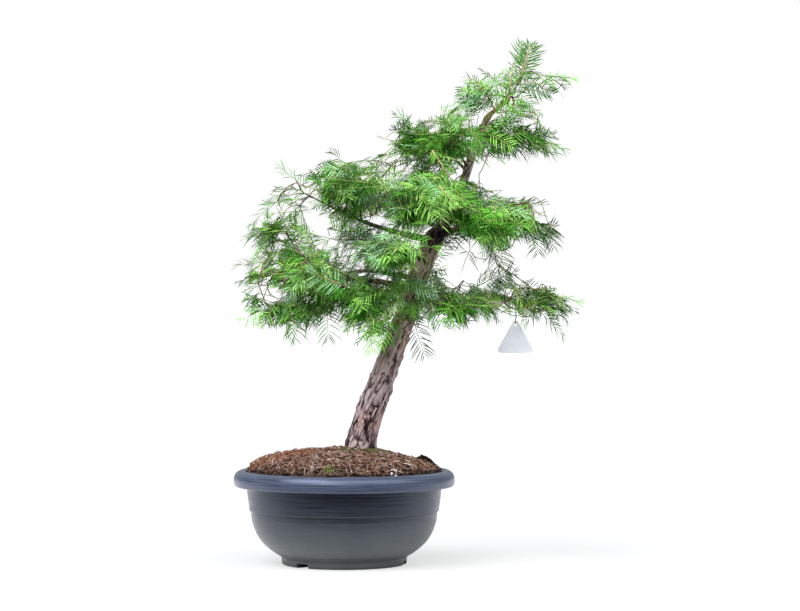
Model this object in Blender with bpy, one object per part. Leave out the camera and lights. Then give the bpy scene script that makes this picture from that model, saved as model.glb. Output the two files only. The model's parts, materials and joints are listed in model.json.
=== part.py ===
"""Bald cypress bonsai in its round moulded training pot.

The trunk leans from a flat cut on the soil to its tip. Tapering boughs leave it and end
inside uneven masses of foliage, which are cut round the trunk and the boughs. The pot is
a turned bowl with a broad lip, standing on a flat foot that three drain channels cross.
A plain hang tag hangs under the right lower foliage.

Frame: metres, +Z up, origin at the centre of the pot's flat underside. The tree leans
towards +X, and the front of the tree faces -Y. Sizes below are in millimetres.
"""
import math
from dataclasses import dataclass

import bmesh
import bpy
from mathutils import Matrix, Vector, noise

MM = 0.001
GAP = 0.3
"""Clearance kept between solids that touch."""

FACET_ALLOWANCE = 1.15
"""Extra share of clearance that flat facets need round a limb."""

POT_RIM_RADIUS = 150.0
POT_HEIGHT = 130.0
POT_BODY_RADIUS = 127.0
POT_FOOT_RADIUS = 85.0
POT_FLOOR_TOP = 12.0
POT_WALL = 4.0
POT_SIDES = 32

CHANNEL_WIDTH = 17.0
CHANNEL_HEIGHT = 5.5
CHANNEL_START = 28.0
CHANNEL_ANGLES = (-41.0, 79.0, 199.0)
"""Turn of each drain channel from the front, towards +X, in degrees."""
DRAIN_HOLE_RADIUS = 6.0
DRAIN_HOLE_PLACE = 52.0
DRAIN_HOLE_SIDES = 10

CUTTER_OVERRUN = 8.0
"""How far a cutter runs past the face that it opens."""

SOIL_TOP = 160.0
SOIL_WALL_HEIGHT = 122.0
SOIL_EDGE_HEIGHT = 133.0
SOIL_EDGE_RADIUS = 128.0
SOIL_ROUGHNESS = 2.0
SOIL_ROUGHNESS_WIDTH = 22.0
SOIL_PATCH_RADIUS = 29.0
"""Flat patch under the trunk's cut."""
SOIL_RINGS = (0.03, 0.15, 0.4, 0.85)
"""Where the mound's rings lie, as shares of the way from the wall to the flat patch."""

TRUNK_SIDES = 11
TRUNK_FLUTING = 0.08
"""How far the trunk's foot swings from round, as a share of its radius."""
TRUNK_FLUTING_KEPT = 0.25
"""Share of the fluting that is left above the foot."""
BOUGH_SIDES = 6
BOUGH_FLUTING = 0.05
BOUGH_COLLAR = 0.25
"""How much fatter a bough is where it leaves the trunk."""
BOUGH_NOSE = 0.3
"""Radius and length of a bough's blunt end, as a share of its diameter there."""
MASS_AROUND = 8
MASS_UP = 7
LOBE_SWING = 0.36
"""How far a mass's wide lobes swing its outline, as a share of its half sizes."""
TUFT_SWING = 0.26
"""The same for its smaller tufts."""
NEIGHBOUR_REACH = 1.3
"""Masses closer than this many times their largest half sizes together share a wall."""
POCKET_DEPTH = 11.0
"""How far a bough reaches into the mass that it carries."""

TAG_WIDTH = 47.0
TAG_HEIGHT = 44.0
TAG_THICKNESS = 1.2
TAG_CORNER = 5.0
TAG_HOLE_RADIUS = 2.0
TAG_CENTRE = (231.5, -14.0)
TAG_FOOT = 286.5
LOOP_WIRE = 1.2
LOOP_RISE = 22.0
LOOP_HALF_WIDTH = 2.6
LOOP_STEPS = 12
LOOP_SIDES = 5


@dataclass
class Station:
    """A place on a limb's centre line, with the limb's diameter there."""
    x: float
    y: float
    z: float
    diameter: float

    def place(self):
        """Returns the place as a vector."""
        return Vector((self.x, self.y, self.z))


@dataclass
class Mass:
    """One uneven mass of foliage: centre, half sizes, tilt about Y and its own seed."""
    name: str
    centre: tuple
    half: tuple
    tilt: float
    seed: int


@dataclass
class Bough:
    """A limb from the trunk, or from the mass that hides its start, to the mass it carries."""
    name: str
    root: object
    """Height on the trunk, or the name of the mass that the limb comes out of."""
    mass: str
    root_diameter: float
    tip_diameter: float
    rise: float
    """Height of the middle of the limb over the straight line between its ends."""


TRUNK = (
    Station(22.0, 0.0, 160.3, 47.0),
    Station(26.5, -0.5, 175.0, 42.5),
    Station(40.0, -1.0, 223.0, 35.5),
    Station(58.0, 1.0, 271.0, 30.5),
    Station(75.6, 2.0, 317.5, 28.0),
    Station(90.5, 0.0, 362.0, 27.0),
    Station(109.5, -2.0, 417.0, 26.5),
    Station(122.0, 0.0, 441.0, 24.0),
    Station(135.0, 4.0, 459.0, 14.0),
    Station(151.0, 7.0, 487.0, 12.0),
    Station(166.0, 6.0, 531.0, 11.0),
    Station(177.0, 2.0, 568.0, 10.5),
    Station(193.0, 0.0, 606.0, 9.0),
    Station(224.0, -2.0, 632.0, 7.0),
    Station(238.0, 0.0, 656.0, 4.4),
    Station(248.0, 1.0, 707.0, 2.4),
)

MASSES = (
    Mass("foliage_far_left_low", (-101.0, -30.0, 389.0), (47.0, 60.0, 26.0), -8.0, 1),
    Mass("foliage_left_low", (-34.0, -52.0, 390.0), (44.0, 62.0, 36.0), 0.0, 2),
    Mass("foliage_left_hanging", (-70.0, -6.0, 345.0), (62.0, 56.0, 28.0), 4.0, 3),
    Mass("foliage_left_low_back", (-58.0, 92.0, 394.0), (62.0, 52.0, 32.0), 5.0, 4),
    Mass("foliage_far_left_middle", (-84.0, 22.0, 452.0), (44.0, 52.0, 29.0), -6.0, 5),
    Mass("foliage_far_left_high", (-68.0, 16.0, 508.0), (27.0, 38.0, 25.0), 20.0, 6),
    Mass("foliage_left_high", (-2.0, -30.0, 514.0), (56.0, 70.0, 38.0), -4.0, 7),
    Mass("foliage_left_high_back", (20.0, 96.0, 496.0), (60.0, 56.0, 34.0), 6.0, 8),
    Mass("foliage_centre_low", (33.0, -58.0, 352.0), (42.0, 56.0, 42.0), 18.0, 9),
    Mass("foliage_centre_low_back", (14.0, 86.0, 368.0), (54.0, 56.0, 30.0), 0.0, 10),
    Mass("foliage_front_middle", (62.0, -92.0, 424.0), (55.0, 56.0, 30.0), 4.0, 11),
    Mass("foliage_centre_front", (98.0, -78.0, 492.0), (54.0, 54.0, 38.0), -5.0, 12),
    Mass("foliage_centre_back", (104.0, 94.0, 492.0), (60.0, 58.0, 36.0), -4.0, 13),
    Mass("foliage_left_upper", (90.0, 4.0, 574.0), (40.0, 52.0, 34.0), -16.0, 14),
    Mass("foliage_upper_front", (142.0, -52.0, 574.0), (38.0, 48.0, 44.0), 6.0, 15),
    Mass("foliage_upper_back", (134.0, 68.0, 562.0), (50.0, 50.0, 32.0), 0.0, 16),
    Mass("foliage_upper_right", (202.0, 4.0, 573.0), (38.0, 52.0, 29.0), -4.0, 17),
    Mass("foliage_far_right_upper", (266.0, 0.0, 571.0), (35.0, 44.0, 21.0), 6.0, 18),
    Mass("foliage_top_left", (186.0, -10.0, 640.0), (31.0, 38.0, 27.0), -24.0, 19),
    Mass("foliage_top", (240.0, 0.0, 670.0), (24.0, 32.0, 40.0), 8.0, 20),
    Mass("foliage_top_right", (288.0, 2.0, 654.0), (31.0, 26.0, 14.0), -8.0, 21),
    Mass("foliage_right_middle", (182.0, 12.0, 474.0), (42.0, 44.0, 36.0), 0.0, 22),
    Mass("foliage_right_front", (196.0, -76.0, 458.0), (46.0, 50.0, 32.0), 8.0, 23),
    Mass("foliage_far_right_middle", (246.0, -4.0, 470.0), (39.0, 58.0, 34.0), 8.0, 24),
    Mass("foliage_right_middle_back", (194.0, 98.0, 470.0), (60.0, 54.0, 34.0), 0.0, 25),
    Mass("foliage_right_hanging", (206.0, -10.0, 416.0), (21.0, 38.0, 26.0), -10.0, 26),
    Mass("foliage_right_low", (146.0, -52.0, 350.0), (50.0, 58.0, 28.0), -4.0, 27),
    Mass("foliage_far_right_low", (262.0, -4.0, 357.0), (57.0, 56.0, 26.0), 8.0, 28),
    Mass("foliage_right_low_back", (168.0, 90.0, 356.0), (60.0, 56.0, 28.0), 0.0, 29),
)

BOUGHS = (
    Bough("bough_left_low", 371.0, "foliage_left_low", 15.0, 9.5, 5.0),
    Bough("bough_left_low_back", 384.0, "foliage_left_low_back", 11.0, 7.0, 10.0),
    Bough("bough_centre_low", 356.0, "foliage_centre_low", 11.0, 8.0, 2.0),
    Bough("bough_centre_low_back", 366.0, "foliage_centre_low_back", 10.0, 7.0, 3.0),
    Bough("bough_front_middle", 414.0, "foliage_front_middle", 10.0, 7.0, 3.0),
    Bough("bough_left_riser", "foliage_left_low", "foliage_far_left_middle", 7.0, 5.5, 1.0),
    Bough("bough_left_middle", 437.0, "foliage_far_left_high", 12.0, 5.0, -9.0),
    Bough("bough_left_high", 466.0, "foliage_left_high", 8.0, 6.0, 4.0),
    Bough("bough_left_high_back", 451.0, "foliage_left_high_back", 9.0, 6.5, 12.0),
    Bough("bough_centre_front", 478.0, "foliage_centre_front", 8.0, 6.0, 2.0),
    Bough("bough_centre_back", 480.0, "foliage_centre_back", 8.0, 6.0, 4.0),
    Bough("bough_left_upper", 556.0, "foliage_left_upper", 7.0, 5.0, 2.0),
    Bough("bough_upper_front", 536.0, "foliage_upper_front", 7.0, 5.0, 2.0),
    Bough("bough_upper_back", 532.0, "foliage_upper_back", 7.0, 5.0, 3.0),
    Bough("bough_top_left", 630.0, "foliage_top_left", 5.0, 4.0, 2.0),
    Bough("bough_right_middle", 446.0, "foliage_far_right_middle", 11.0, 7.0, 5.0),
    Bough("bough_right_middle_back", 432.0, "foliage_right_middle_back", 10.0, 7.0, 4.0),
    Bough("bough_right_hanging", "foliage_right_middle", "foliage_right_hanging", 5.5, 4.0, 0.0),
    Bough("bough_right_low", 362.0, "foliage_right_low", 12.0, 9.0, 2.0),
    Bough("bough_far_right_low", "foliage_right_low", "foliage_far_right_low", 8.0, 6.0, 2.0),
    Bough("bough_right_low_back", 370.0, "foliage_right_low_back", 10.0, 7.0, 4.0),
)


def clear_scene():
    """Removes what the scene holds."""
    for item in list(bpy.data.objects):
        bpy.data.objects.remove(item, do_unlink=True)


def finish(name, colour, roughness):
    """Makes a plain material.

    Args:
        name: the material's name.
        colour: linear red, green and blue.
        roughness: the surface's roughness.

    Returns:
        The material.
    """
    material = bpy.data.materials.new(name)
    material.use_nodes = True
    shader = material.node_tree.nodes["Principled BSDF"]
    shader.inputs["Base Color"].default_value = (*colour, 1.0)
    shader.inputs["Roughness"].default_value = roughness
    return material


def add_object(name, shape, material):
    """Turns a finished shape into a named object, in metres, and frees the shape."""
    bmesh.ops.recalc_face_normals(shape, faces=shape.faces)
    bmesh.ops.triangulate(shape, faces=shape.faces)
    bmesh.ops.scale(shape, vec=(MM, MM, MM), verts=shape.verts)
    mesh = bpy.data.meshes.new(name)
    shape.to_mesh(mesh)
    shape.free()
    mesh.materials.append(material)
    mesh.shade_smooth()
    mesh.set_sharp_from_angle(angle=math.radians(40.0))
    item = bpy.data.objects.new(name, mesh)
    bpy.context.scene.collection.objects.link(item)
    return item


def add_cutter(name, shape):
    """Makes a hidden cutting guide from a finished shape."""
    item = add_object(name, shape, finish(name, (0.8, 0.1, 0.1), 0.5))
    item.hide_render = True
    item.display_type = "WIRE"
    return item


def cut(item, cutter):
    """Takes a cutter's volume out of an object."""
    modifier = item.modifiers.new(cutter.name, "BOOLEAN")
    modifier.operation = "DIFFERENCE"
    modifier.solver = "EXACT"
    modifier.object = cutter


def rings_solid(rings):
    """Closed solid through rings of points, with a face across each end.

    Args:
        rings: rows of as many points each, in order along the solid.

    Returns:
        The solid as a bmesh.
    """
    shape = bmesh.new()
    rows = [[shape.verts.new(point) for point in ring] for ring in rings]
    for lower, upper in zip(rows, rows[1:]):
        for left, right in zip(range(-1, len(lower) - 1), range(len(lower))):
            shape.faces.new((lower[left], lower[right], upper[right], upper[left]))
    shape.faces.new(rows[0][::-1])
    shape.faces.new(rows[-1])
    return shape


def circle(centre, radius, sides):
    """Level ring of points about a centre."""
    turns = (2.0 * math.pi * side / sides for side in range(sides))
    return [
        Vector((centre[0] + radius * math.cos(turn), centre[1] + radius * math.sin(turn), centre[2]))
        for turn in turns
    ]


def arc(centre_r, centre_z, radius, start, end, steps):
    """Points of a turned profile along an arc, with angles in degrees from +R."""
    turns = [math.radians(start + (end - start) * step / steps) for step in range(steps + 1)]
    return [(centre_r + radius * math.cos(t), centre_z + radius * math.sin(t)) for t in turns]


def pot_outer_profile():
    """Outline of the pot's outside, from the underside up to the lip's inner edge."""
    foot = [(POT_FOOT_RADIUS - 4.5, 0.0), (POT_FOOT_RADIUS - 1.5, 3.0), (POT_FOOT_RADIUS, 9.5)]
    belly = [
        (94.0, 17.0),
        (107.0, 28.0),
        (115.5, 39.5),
        (121.0, 52.0),
        (POT_BODY_RADIUS - 2.5, 70.5),
    ]
    side = [(POT_BODY_RADIUS, 72.5), (POT_BODY_RADIUS + 3.0, 93.0), (POT_BODY_RADIUS + 6.5, 106.0)]
    lip_foot = [(POT_RIM_RADIUS - 3.0, 108.0), (POT_RIM_RADIUS - 0.6, 110.0)]
    lip_radius = 6.0
    lip_top = arc(POT_RIM_RADIUS - lip_radius, POT_HEIGHT - lip_radius, lip_radius, 0.0, 90.0, 3)
    return foot + belly + side + lip_foot + lip_top


def pot_inner_profile():
    """Outline of the pot's hollow, from the lip's inner edge down to the floor."""
    lip = [(POT_BODY_RADIUS + 8.5, POT_HEIGHT - 0.5), (POT_BODY_RADIUS + 5.5, POT_HEIGHT - 4.0)]
    wall = [
        (POT_BODY_RADIUS - POT_WALL - 1.0, 70.0),
        (117.0 - POT_WALL, 47.0),
        (103.0 - POT_WALL, 30.0),
        (78.0, POT_FLOOR_TOP),
    ]
    return lip + wall


def turned_solid(profile):
    """Solid of a profile turned about the Z axis, open at neither end."""
    return rings_solid([circle((0.0, 0.0, z), radius, POT_SIDES) for radius, z in profile])


def channel_cutter(turn):
    """One drain channel across the foot, open at its outer end."""
    shape = bmesh.new()
    length = POT_FOOT_RADIUS + CUTTER_OVERRUN - CHANNEL_START
    heading = math.radians(turn - 90.0)
    size = Matrix.Diagonal((length, CHANNEL_WIDTH, 2.0 * CHANNEL_HEIGHT, 1.0))
    place = Matrix.Translation((CHANNEL_START + length / 2.0, 0.0, 0.0))
    bmesh.ops.create_cube(shape, size=1.0, matrix=Matrix.Rotation(heading, 4, "Z") @ place @ size)
    return add_cutter(f"channel_cutter_{round(turn)}", shape)


def drain_cutter(turn):
    """One drain hole up from a channel through the pot's floor."""
    shape = bmesh.new()
    heading = math.radians(turn - 90.0)
    depth = POT_FLOOR_TOP + CUTTER_OVERRUN - CHANNEL_HEIGHT / 2.0
    place = Matrix.Translation((DRAIN_HOLE_PLACE, 0.0, CHANNEL_HEIGHT / 2.0 + depth / 2.0))
    bmesh.ops.create_cone(
        shape,
        cap_ends=True,
        segments=DRAIN_HOLE_SIDES,
        radius1=DRAIN_HOLE_RADIUS,
        radius2=DRAIN_HOLE_RADIUS,
        depth=depth,
        matrix=Matrix.Rotation(heading, 4, "Z") @ place,
    )
    return add_cutter(f"drain_cutter_{round(turn)}", shape)


def make_pot():
    """The turned bowl with its lip, its flat foot, and its drain channels and holes."""
    plastic = finish("moulded_plastic", (0.085, 0.105, 0.13), 0.42)
    pot = add_object("pot", turned_solid(pot_outer_profile() + pot_inner_profile()), plastic)
    for turn in CHANNEL_ANGLES:
        cut(pot, channel_cutter(turn))
        cut(pot, drain_cutter(turn))


def soil_height(x, y):
    """Height of the mulch mound at a place, steep by the pot's wall and low in the middle."""
    share = min(math.hypot(x, y) / SOIL_EDGE_RADIUS, 1.0)
    mound = SOIL_EDGE_HEIGHT + (SOIL_TOP - 1.5 - SOIL_EDGE_HEIGHT) * (1.0 - share**3)
    place = Vector((x, y, 0.0)) / SOIL_ROUGHNESS_WIDTH
    return mound + SOIL_ROUGHNESS * noise.noise(place + Vector((0.0, 0.0, 3.7)))


def make_soil():
    """The soil that fills the pot, with a flat patch under the trunk's cut."""
    rings = []
    for radius, z in reversed(pot_inner_profile()[2:]):
        rings.append(circle((0.0, 0.0, z + GAP), radius - GAP, POT_SIDES))
    edge = circle((0.0, 0.0, SOIL_WALL_HEIGHT), SOIL_EDGE_RADIUS + 3.2, POT_SIDES)
    rings.append(edge)
    patch = circle((TRUNK[0].x, TRUNK[0].y, SOIL_TOP), SOIL_PATCH_RADIUS, POT_SIDES)
    for share in SOIL_RINGS:
        ring = []
        for outer, inner in zip(edge, patch):
            point = outer.lerp(inner, share)
            point.z = soil_height(point.x, point.y)
            ring.append(point)
        rings.append(ring)
    rings.append(patch)
    add_object("soil", rings_solid(rings), finish("soil_mulch", (0.16, 0.1, 0.075), 0.95))


def through(points, steps):
    """Smooth curve through points.

    Args:
        points: the vectors it passes through.
        steps: how many pieces each stretch between two points has.

    Returns:
        The curve's points, as vectors.
    """
    ends = [2.0 * points[0] - points[1], *points, 2.0 * points[-1] - points[-2]]
    curve = []
    for before, start, end, after in zip(ends, ends[1:], ends[2:], ends[3:]):
        for step in range(steps):
            share = step / steps
            curve.append(
                0.5
                * (
                    2.0 * start
                    + (end - before) * share
                    + (2.0 * before - 5.0 * start + 4.0 * end - after) * share**2
                    + (3.0 * start - before - 3.0 * end + after) * share**3
                )
            )
    curve.append(points[-1])
    return curve


def ring_about(place, along, radius, sides, uneven=0.0):
    """Ring of points round a limb, square to its direction.

    Args:
        place: the ring's centre.
        along: the limb's direction there.
        radius: the limb's radius there.
        sides: how many points the ring has.
        uneven: how far the radius swings round the ring, as a share of it.

    Returns:
        The ring's points.
    """
    reference = Vector((0.0, 1.0, 0.0)) if abs(along.y) < 0.75 else Vector((0.0, 0.0, 1.0))
    across = reference.cross(along).normalized()
    other = along.cross(across).normalized()
    points = []
    for side in range(sides):
        turn = 2.0 * math.pi * side / sides
        swing = 1.0 + uneven * math.cos(3.0 * turn + 0.6) + 0.5 * uneven * math.cos(5.0 * turn)
        points.append(place + radius * swing * (across * math.cos(turn) + other * math.sin(turn)))
    return points


def trunk_shape(extra):
    """The trunk's solid, fatter all round by a given clearance, which also lengthens it."""
    rings = []
    for index, station in enumerate(TRUNK):
        before = TRUNK[max(index - 1, 0)].place()
        after = TRUNK[min(index + 1, len(TRUNK) - 1)].place()
        upright = max(0.0, 1.0 - index / 2.0)
        along = (after - before).normalized().lerp(Vector((0.0, 0.0, 1.0)), upright).normalized()
        radius = station.diameter / 2.0 + extra
        uneven = TRUNK_FLUTING * max(TRUNK_FLUTING_KEPT, upright)
        rings.append(ring_about(station.place(), along, radius, TRUNK_SIDES, uneven))
    if extra > 0.0:
        foot = [point - Vector((0.0, 0.0, CUTTER_OVERRUN)) for point in rings[0]]
        tip = [point + Vector((0.0, 0.0, extra)) for point in rings[-1]]
        rings = [foot, *rings, tip]
    return rings_solid(rings)


def trunk_centre(height):
    """The trunk's centre at a height."""
    for lower, upper in zip(TRUNK, TRUNK[1:]):
        if lower.z <= height <= upper.z:
            share = (height - lower.z) / (upper.z - lower.z)
            return lower.place().lerp(upper.place(), share)
    return TRUNK[-1].place()


def blob_offset(mass, unit):
    """Step from a mass's centre to its own outline, before its neighbours are told apart.

    Args:
        mass: the mass.
        unit: a direction in the mass's own frame, of length 1.

    Returns:
        The step as a vector.
    """
    place = unit * 1.6 + Vector((mass.seed * 7.31, mass.seed * 3.17, mass.seed * 5.53))
    lobes = 1.0 + LOBE_SWING * noise.noise(place) + TUFT_SWING * noise.noise(place * 2.7)
    half = Vector((unit.x * mass.half[0], unit.y * mass.half[1], unit.z * mass.half[2]))
    return Matrix.Rotation(math.radians(mass.tilt), 3, "Y") @ half * lobes


def blob_reach(mass, direction):
    """How far a mass reaches from its centre in a world direction of length 1."""
    local = Matrix.Rotation(math.radians(-mass.tilt), 3, "Y") @ direction
    unit = Vector((local.x / mass.half[0], local.y / mass.half[1], local.z / mass.half[2]))
    return blob_offset(mass, unit.normalized()).length


def walls_of(mass):
    """Flat walls between a mass and its near neighbours.

    Args:
        mass: the mass.

    Returns:
        Pairs of a wall's direction and its distance from the mass's centre.
    """
    walls = []
    centre = Vector(mass.centre)
    for other in MASSES:
        step = Vector(other.centre) - centre
        if other is mass or step.length > NEIGHBOUR_REACH * (max(mass.half) + max(other.half)):
            continue
        direction = step.normalized()
        own = blob_reach(mass, direction)
        their = blob_reach(other, -direction)
        wall = Vector(
            [step[axis] / (mass.half[axis] + other.half[axis]) ** 2 for axis in range(3)]
        ).normalized()
        middle = direction * step.length * own / (own + their)
        walls.append((wall, wall.dot(middle) - GAP / 2.0))
    return walls


def held_back(offset, walls):
    """Shortens a step from a mass's centre to stay behind the mass's walls."""
    keep = 1.0
    for wall, distance in walls:
        reach = wall.dot(offset)
        if reach > distance:
            keep = min(keep, distance / reach)
    return offset * keep


def mass_shape(mass):
    """The uneven solid of one mass of foliage."""
    shape = bmesh.new()
    bmesh.ops.create_uvsphere(shape, u_segments=MASS_AROUND, v_segments=MASS_UP, radius=1.0)
    walls = walls_of(mass)
    for vert in shape.verts:
        offset = blob_offset(mass, vert.co.normalized())
        vert.co = Vector(mass.centre) + held_back(offset, walls)
    return shape


def mass_named(name):
    """The mass of a name."""
    return next(mass for mass in MASSES if mass.name == name)


def pocket(name, seen_from):
    """Place just inside a mass, on the side that faces a given place."""
    mass = mass_named(name)
    centre = Vector(mass.centre)
    outward = (seen_from - centre).normalized()
    entry = held_back(outward * blob_reach(mass, outward), walls_of(mass))
    return centre + entry * (1.0 - POCKET_DEPTH / entry.length)


def bough_shape(bough, extra):
    """One tapering limb from inside the trunk to just inside its mass.

    Args:
        bough: the limb.
        extra: clearance added all round, also past the tip.

    Returns:
        The limb's solid.
    """
    if isinstance(bough.root, str):
        root = pocket(bough.root, Vector(mass_named(bough.mass).centre))
    else:
        root = trunk_centre(bough.root)
    tip = pocket(bough.mass, root)
    middle = root.lerp(tip, 0.5) + Vector((0.0, 0.0, bough.rise))
    curve = through([root, middle, tip], 2)
    curve[0] = curve[0] - (curve[1] - curve[0]).normalized() * extra
    rings = []
    for index, place in enumerate(curve):
        share = index / (len(curve) - 1)
        before = curve[max(index - 1, 0)]
        after = curve[min(index + 1, len(curve) - 1)]
        diameter = bough.root_diameter + (bough.tip_diameter - bough.root_diameter) * share
        collar = 1.0 + BOUGH_COLLAR * max(0.0, 1.0 - 3.0 * share)
        along = (after - before).normalized()
        radius = diameter / 2.0 * collar + extra
        rings.append(ring_about(place, along, radius, BOUGH_SIDES, BOUGH_FLUTING))
    end = (curve[-1] - curve[-2]).normalized()
    nose = bough.tip_diameter * BOUGH_NOSE + extra
    rings.append(ring_about(curve[-1] + end * nose, end, nose, BOUGH_SIDES))
    return rings_solid(rings)


def make_tree():
    """The trunk, its boughs and its masses of foliage, each cut clear of the others."""
    bark = finish("bark", (0.16, 0.11, 0.1), 0.85)
    leaf = finish("needles", (0.08, 0.2, 0.03), 0.7)
    clearance = GAP * FACET_ALLOWANCE
    add_object("trunk", trunk_shape(0.0), bark)
    trunk_cutter = add_cutter("trunk_cutter", trunk_shape(clearance))
    bough_cutters = []
    for bough in BOUGHS:
        limb = add_object(bough.name, bough_shape(bough, 0.0), bark)
        cut(limb, trunk_cutter)
        bough_cutters.append(add_cutter(f"{bough.name}_cutter", bough_shape(bough, clearance)))
    cutters = [trunk_cutter, *bough_cutters, loop_cutter()]
    for mass in MASSES:
        foliage = add_object(mass.name, mass_shape(mass), leaf)
        for cutter in cutters:
            if boxes_meet(foliage, cutter):
                cut(foliage, cutter)


def boxes_meet(first, second):
    """Whether the boxes round two objects overlap."""
    for axis in range(3):
        own = [vert.co[axis] for vert in first.data.vertices]
        their = [vert.co[axis] for vert in second.data.vertices]
        if max(own) < min(their) or max(their) < min(own):
            return False
    return True


def tag_outline():
    """Rounded triangle of the hang tag, as points across X and up Z from its foot's middle."""
    apex = TAG_HEIGHT - TAG_CORNER
    lower = TAG_WIDTH / 2.0 - TAG_CORNER
    slope = math.degrees(math.atan2(apex - TAG_CORNER, lower))
    right = arc(lower, TAG_CORNER, TAG_CORNER, -90.0, 90.0 - slope, 3)
    top = arc(0.0, apex, TAG_CORNER, 90.0 - slope, 90.0 + slope, 3)
    left = [(-x, z) for x, z in reversed(right)]
    return right + top + left


def make_tag():
    """The plain hang tag with its hole, ready for its wire loop."""
    shape = bmesh.new()
    front = TAG_CENTRE[1] - TAG_THICKNESS / 2.0
    verts = [shape.verts.new((TAG_CENTRE[0] + x, front, TAG_FOOT + z)) for x, z in tag_outline()]
    face = shape.faces.new(verts)
    pushed = bmesh.ops.extrude_face_region(shape, geom=[face])
    moved = [item for item in pushed["geom"] if isinstance(item, bmesh.types.BMVert)]
    bmesh.ops.translate(shape, verts=moved, vec=(0.0, TAG_THICKNESS, 0.0))
    tag = add_object("hang_tag", shape, finish("clear_plastic", (0.62, 0.66, 0.76), 0.25))
    hole_height = TAG_FOOT + TAG_HEIGHT - TAG_CORNER
    hole = bmesh.new()
    bmesh.ops.create_cone(
        hole,
        cap_ends=True,
        segments=12,
        radius1=TAG_HOLE_RADIUS,
        radius2=TAG_HOLE_RADIUS,
        depth=6.0 * TAG_THICKNESS,
        matrix=Matrix.Translation((TAG_CENTRE[0], TAG_CENTRE[1], hole_height))
        @ Matrix.Rotation(math.radians(90.0), 4, "X"),
    )
    cut(tag, add_cutter("tag_hole_cutter", hole))


def loop_centre():
    """Middle of the wire loop that the tag hangs from."""
    low = TAG_FOOT + TAG_HEIGHT - TAG_CORNER + TAG_HOLE_RADIUS - LOOP_WIRE - GAP
    return Vector((*TAG_CENTRE, low + LOOP_RISE / 2.0))


def make_loop():
    """The closed wire loop through the tag's hole, with its top among the foliage."""
    rows = []
    shape = bmesh.new()
    for turn in range(LOOP_STEPS):
        angle = 2.0 * math.pi * turn / LOOP_STEPS
        out = Vector((0.0, math.cos(angle), math.sin(angle)))
        bend = Vector((0.0, LOOP_HALF_WIDTH * out.y, LOOP_RISE / 2.0 * out.z))
        row = []
        for side in range(LOOP_SIDES):
            around = 2.0 * math.pi * side / LOOP_SIDES
            wire = Vector((math.cos(around), 0.0, 0.0)) + out * math.sin(around)
            row.append(shape.verts.new(loop_centre() + bend + wire * (LOOP_WIRE / 2.0)))
        rows.append(row)
    for row, after in zip(rows, rows[1:] + rows[:1]):
        for side in range(LOOP_SIDES):
            shape.faces.new((row[side - 1], row[side], after[side], after[side - 1]))
    add_object("tag_loop", shape, finish("wire", (0.05, 0.05, 0.05), 0.4))


def loop_cutter():
    """The slot in the foliage that the top of the wire loop sits in."""
    width = LOOP_WIRE + 2.0 * GAP
    depth = 2.0 * LOOP_HALF_WIDTH + width
    shape = bmesh.new()
    place = Matrix.Translation(loop_centre() - Vector((0.0, 0.0, CUTTER_OVERRUN / 2.0)))
    size = Matrix.Diagonal((width, depth, LOOP_RISE + width + CUTTER_OVERRUN, 1.0))
    bmesh.ops.create_cube(shape, size=1.0, matrix=place @ size)
    return add_cutter("loop_cutter", shape)


def main():
    """Builds the bonsai."""
    clear_scene()
    make_pot()
    make_soil()
    make_tree()
    make_tag()
    make_loop()


main()
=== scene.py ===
"""Looks of the bald cypress bonsai in its round moulded training pot.

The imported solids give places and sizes. The pot gets its turned marks, the soil its mulch,
fibres and chips, the trunk and boughs their bark, and each mass of foliage gives way to twigs
and two-ranked sprays of needles that grow on from the limbs. Shapes are worked out in mm.
"""

import json
import logging
import math
from dataclasses import dataclass, field, fields
from enum import Enum
from functools import partial
from typing import Callable

import bpy
import numpy as np
from bpy.types import ID, Material, Node, NodeSocket, NodeTree, Object
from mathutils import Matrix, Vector
from mathutils.bvhtree import BVHTree

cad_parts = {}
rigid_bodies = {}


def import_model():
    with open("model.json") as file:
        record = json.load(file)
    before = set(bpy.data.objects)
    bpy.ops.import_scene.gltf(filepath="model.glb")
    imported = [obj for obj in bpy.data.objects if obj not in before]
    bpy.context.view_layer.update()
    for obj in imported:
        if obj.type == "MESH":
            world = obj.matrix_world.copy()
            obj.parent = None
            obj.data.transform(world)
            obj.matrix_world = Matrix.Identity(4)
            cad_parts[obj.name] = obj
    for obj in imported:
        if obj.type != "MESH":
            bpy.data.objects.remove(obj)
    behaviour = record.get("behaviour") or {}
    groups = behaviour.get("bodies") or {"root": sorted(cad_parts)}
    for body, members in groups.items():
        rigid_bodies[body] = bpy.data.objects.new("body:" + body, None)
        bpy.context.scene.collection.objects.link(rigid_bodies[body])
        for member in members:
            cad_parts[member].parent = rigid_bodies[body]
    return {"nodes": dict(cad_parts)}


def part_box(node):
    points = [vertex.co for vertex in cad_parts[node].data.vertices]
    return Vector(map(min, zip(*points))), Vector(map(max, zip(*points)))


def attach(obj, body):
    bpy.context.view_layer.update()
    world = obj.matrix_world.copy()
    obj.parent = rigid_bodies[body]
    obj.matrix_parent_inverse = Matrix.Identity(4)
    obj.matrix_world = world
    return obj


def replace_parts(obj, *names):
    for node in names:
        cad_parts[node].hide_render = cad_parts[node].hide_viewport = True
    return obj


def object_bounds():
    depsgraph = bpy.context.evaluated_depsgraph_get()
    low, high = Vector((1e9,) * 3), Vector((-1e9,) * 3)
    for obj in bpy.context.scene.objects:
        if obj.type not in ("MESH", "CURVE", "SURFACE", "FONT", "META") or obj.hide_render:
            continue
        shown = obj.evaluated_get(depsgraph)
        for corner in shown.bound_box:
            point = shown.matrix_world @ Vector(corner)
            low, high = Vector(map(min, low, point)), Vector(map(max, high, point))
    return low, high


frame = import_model()
CAD_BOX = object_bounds()

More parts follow.
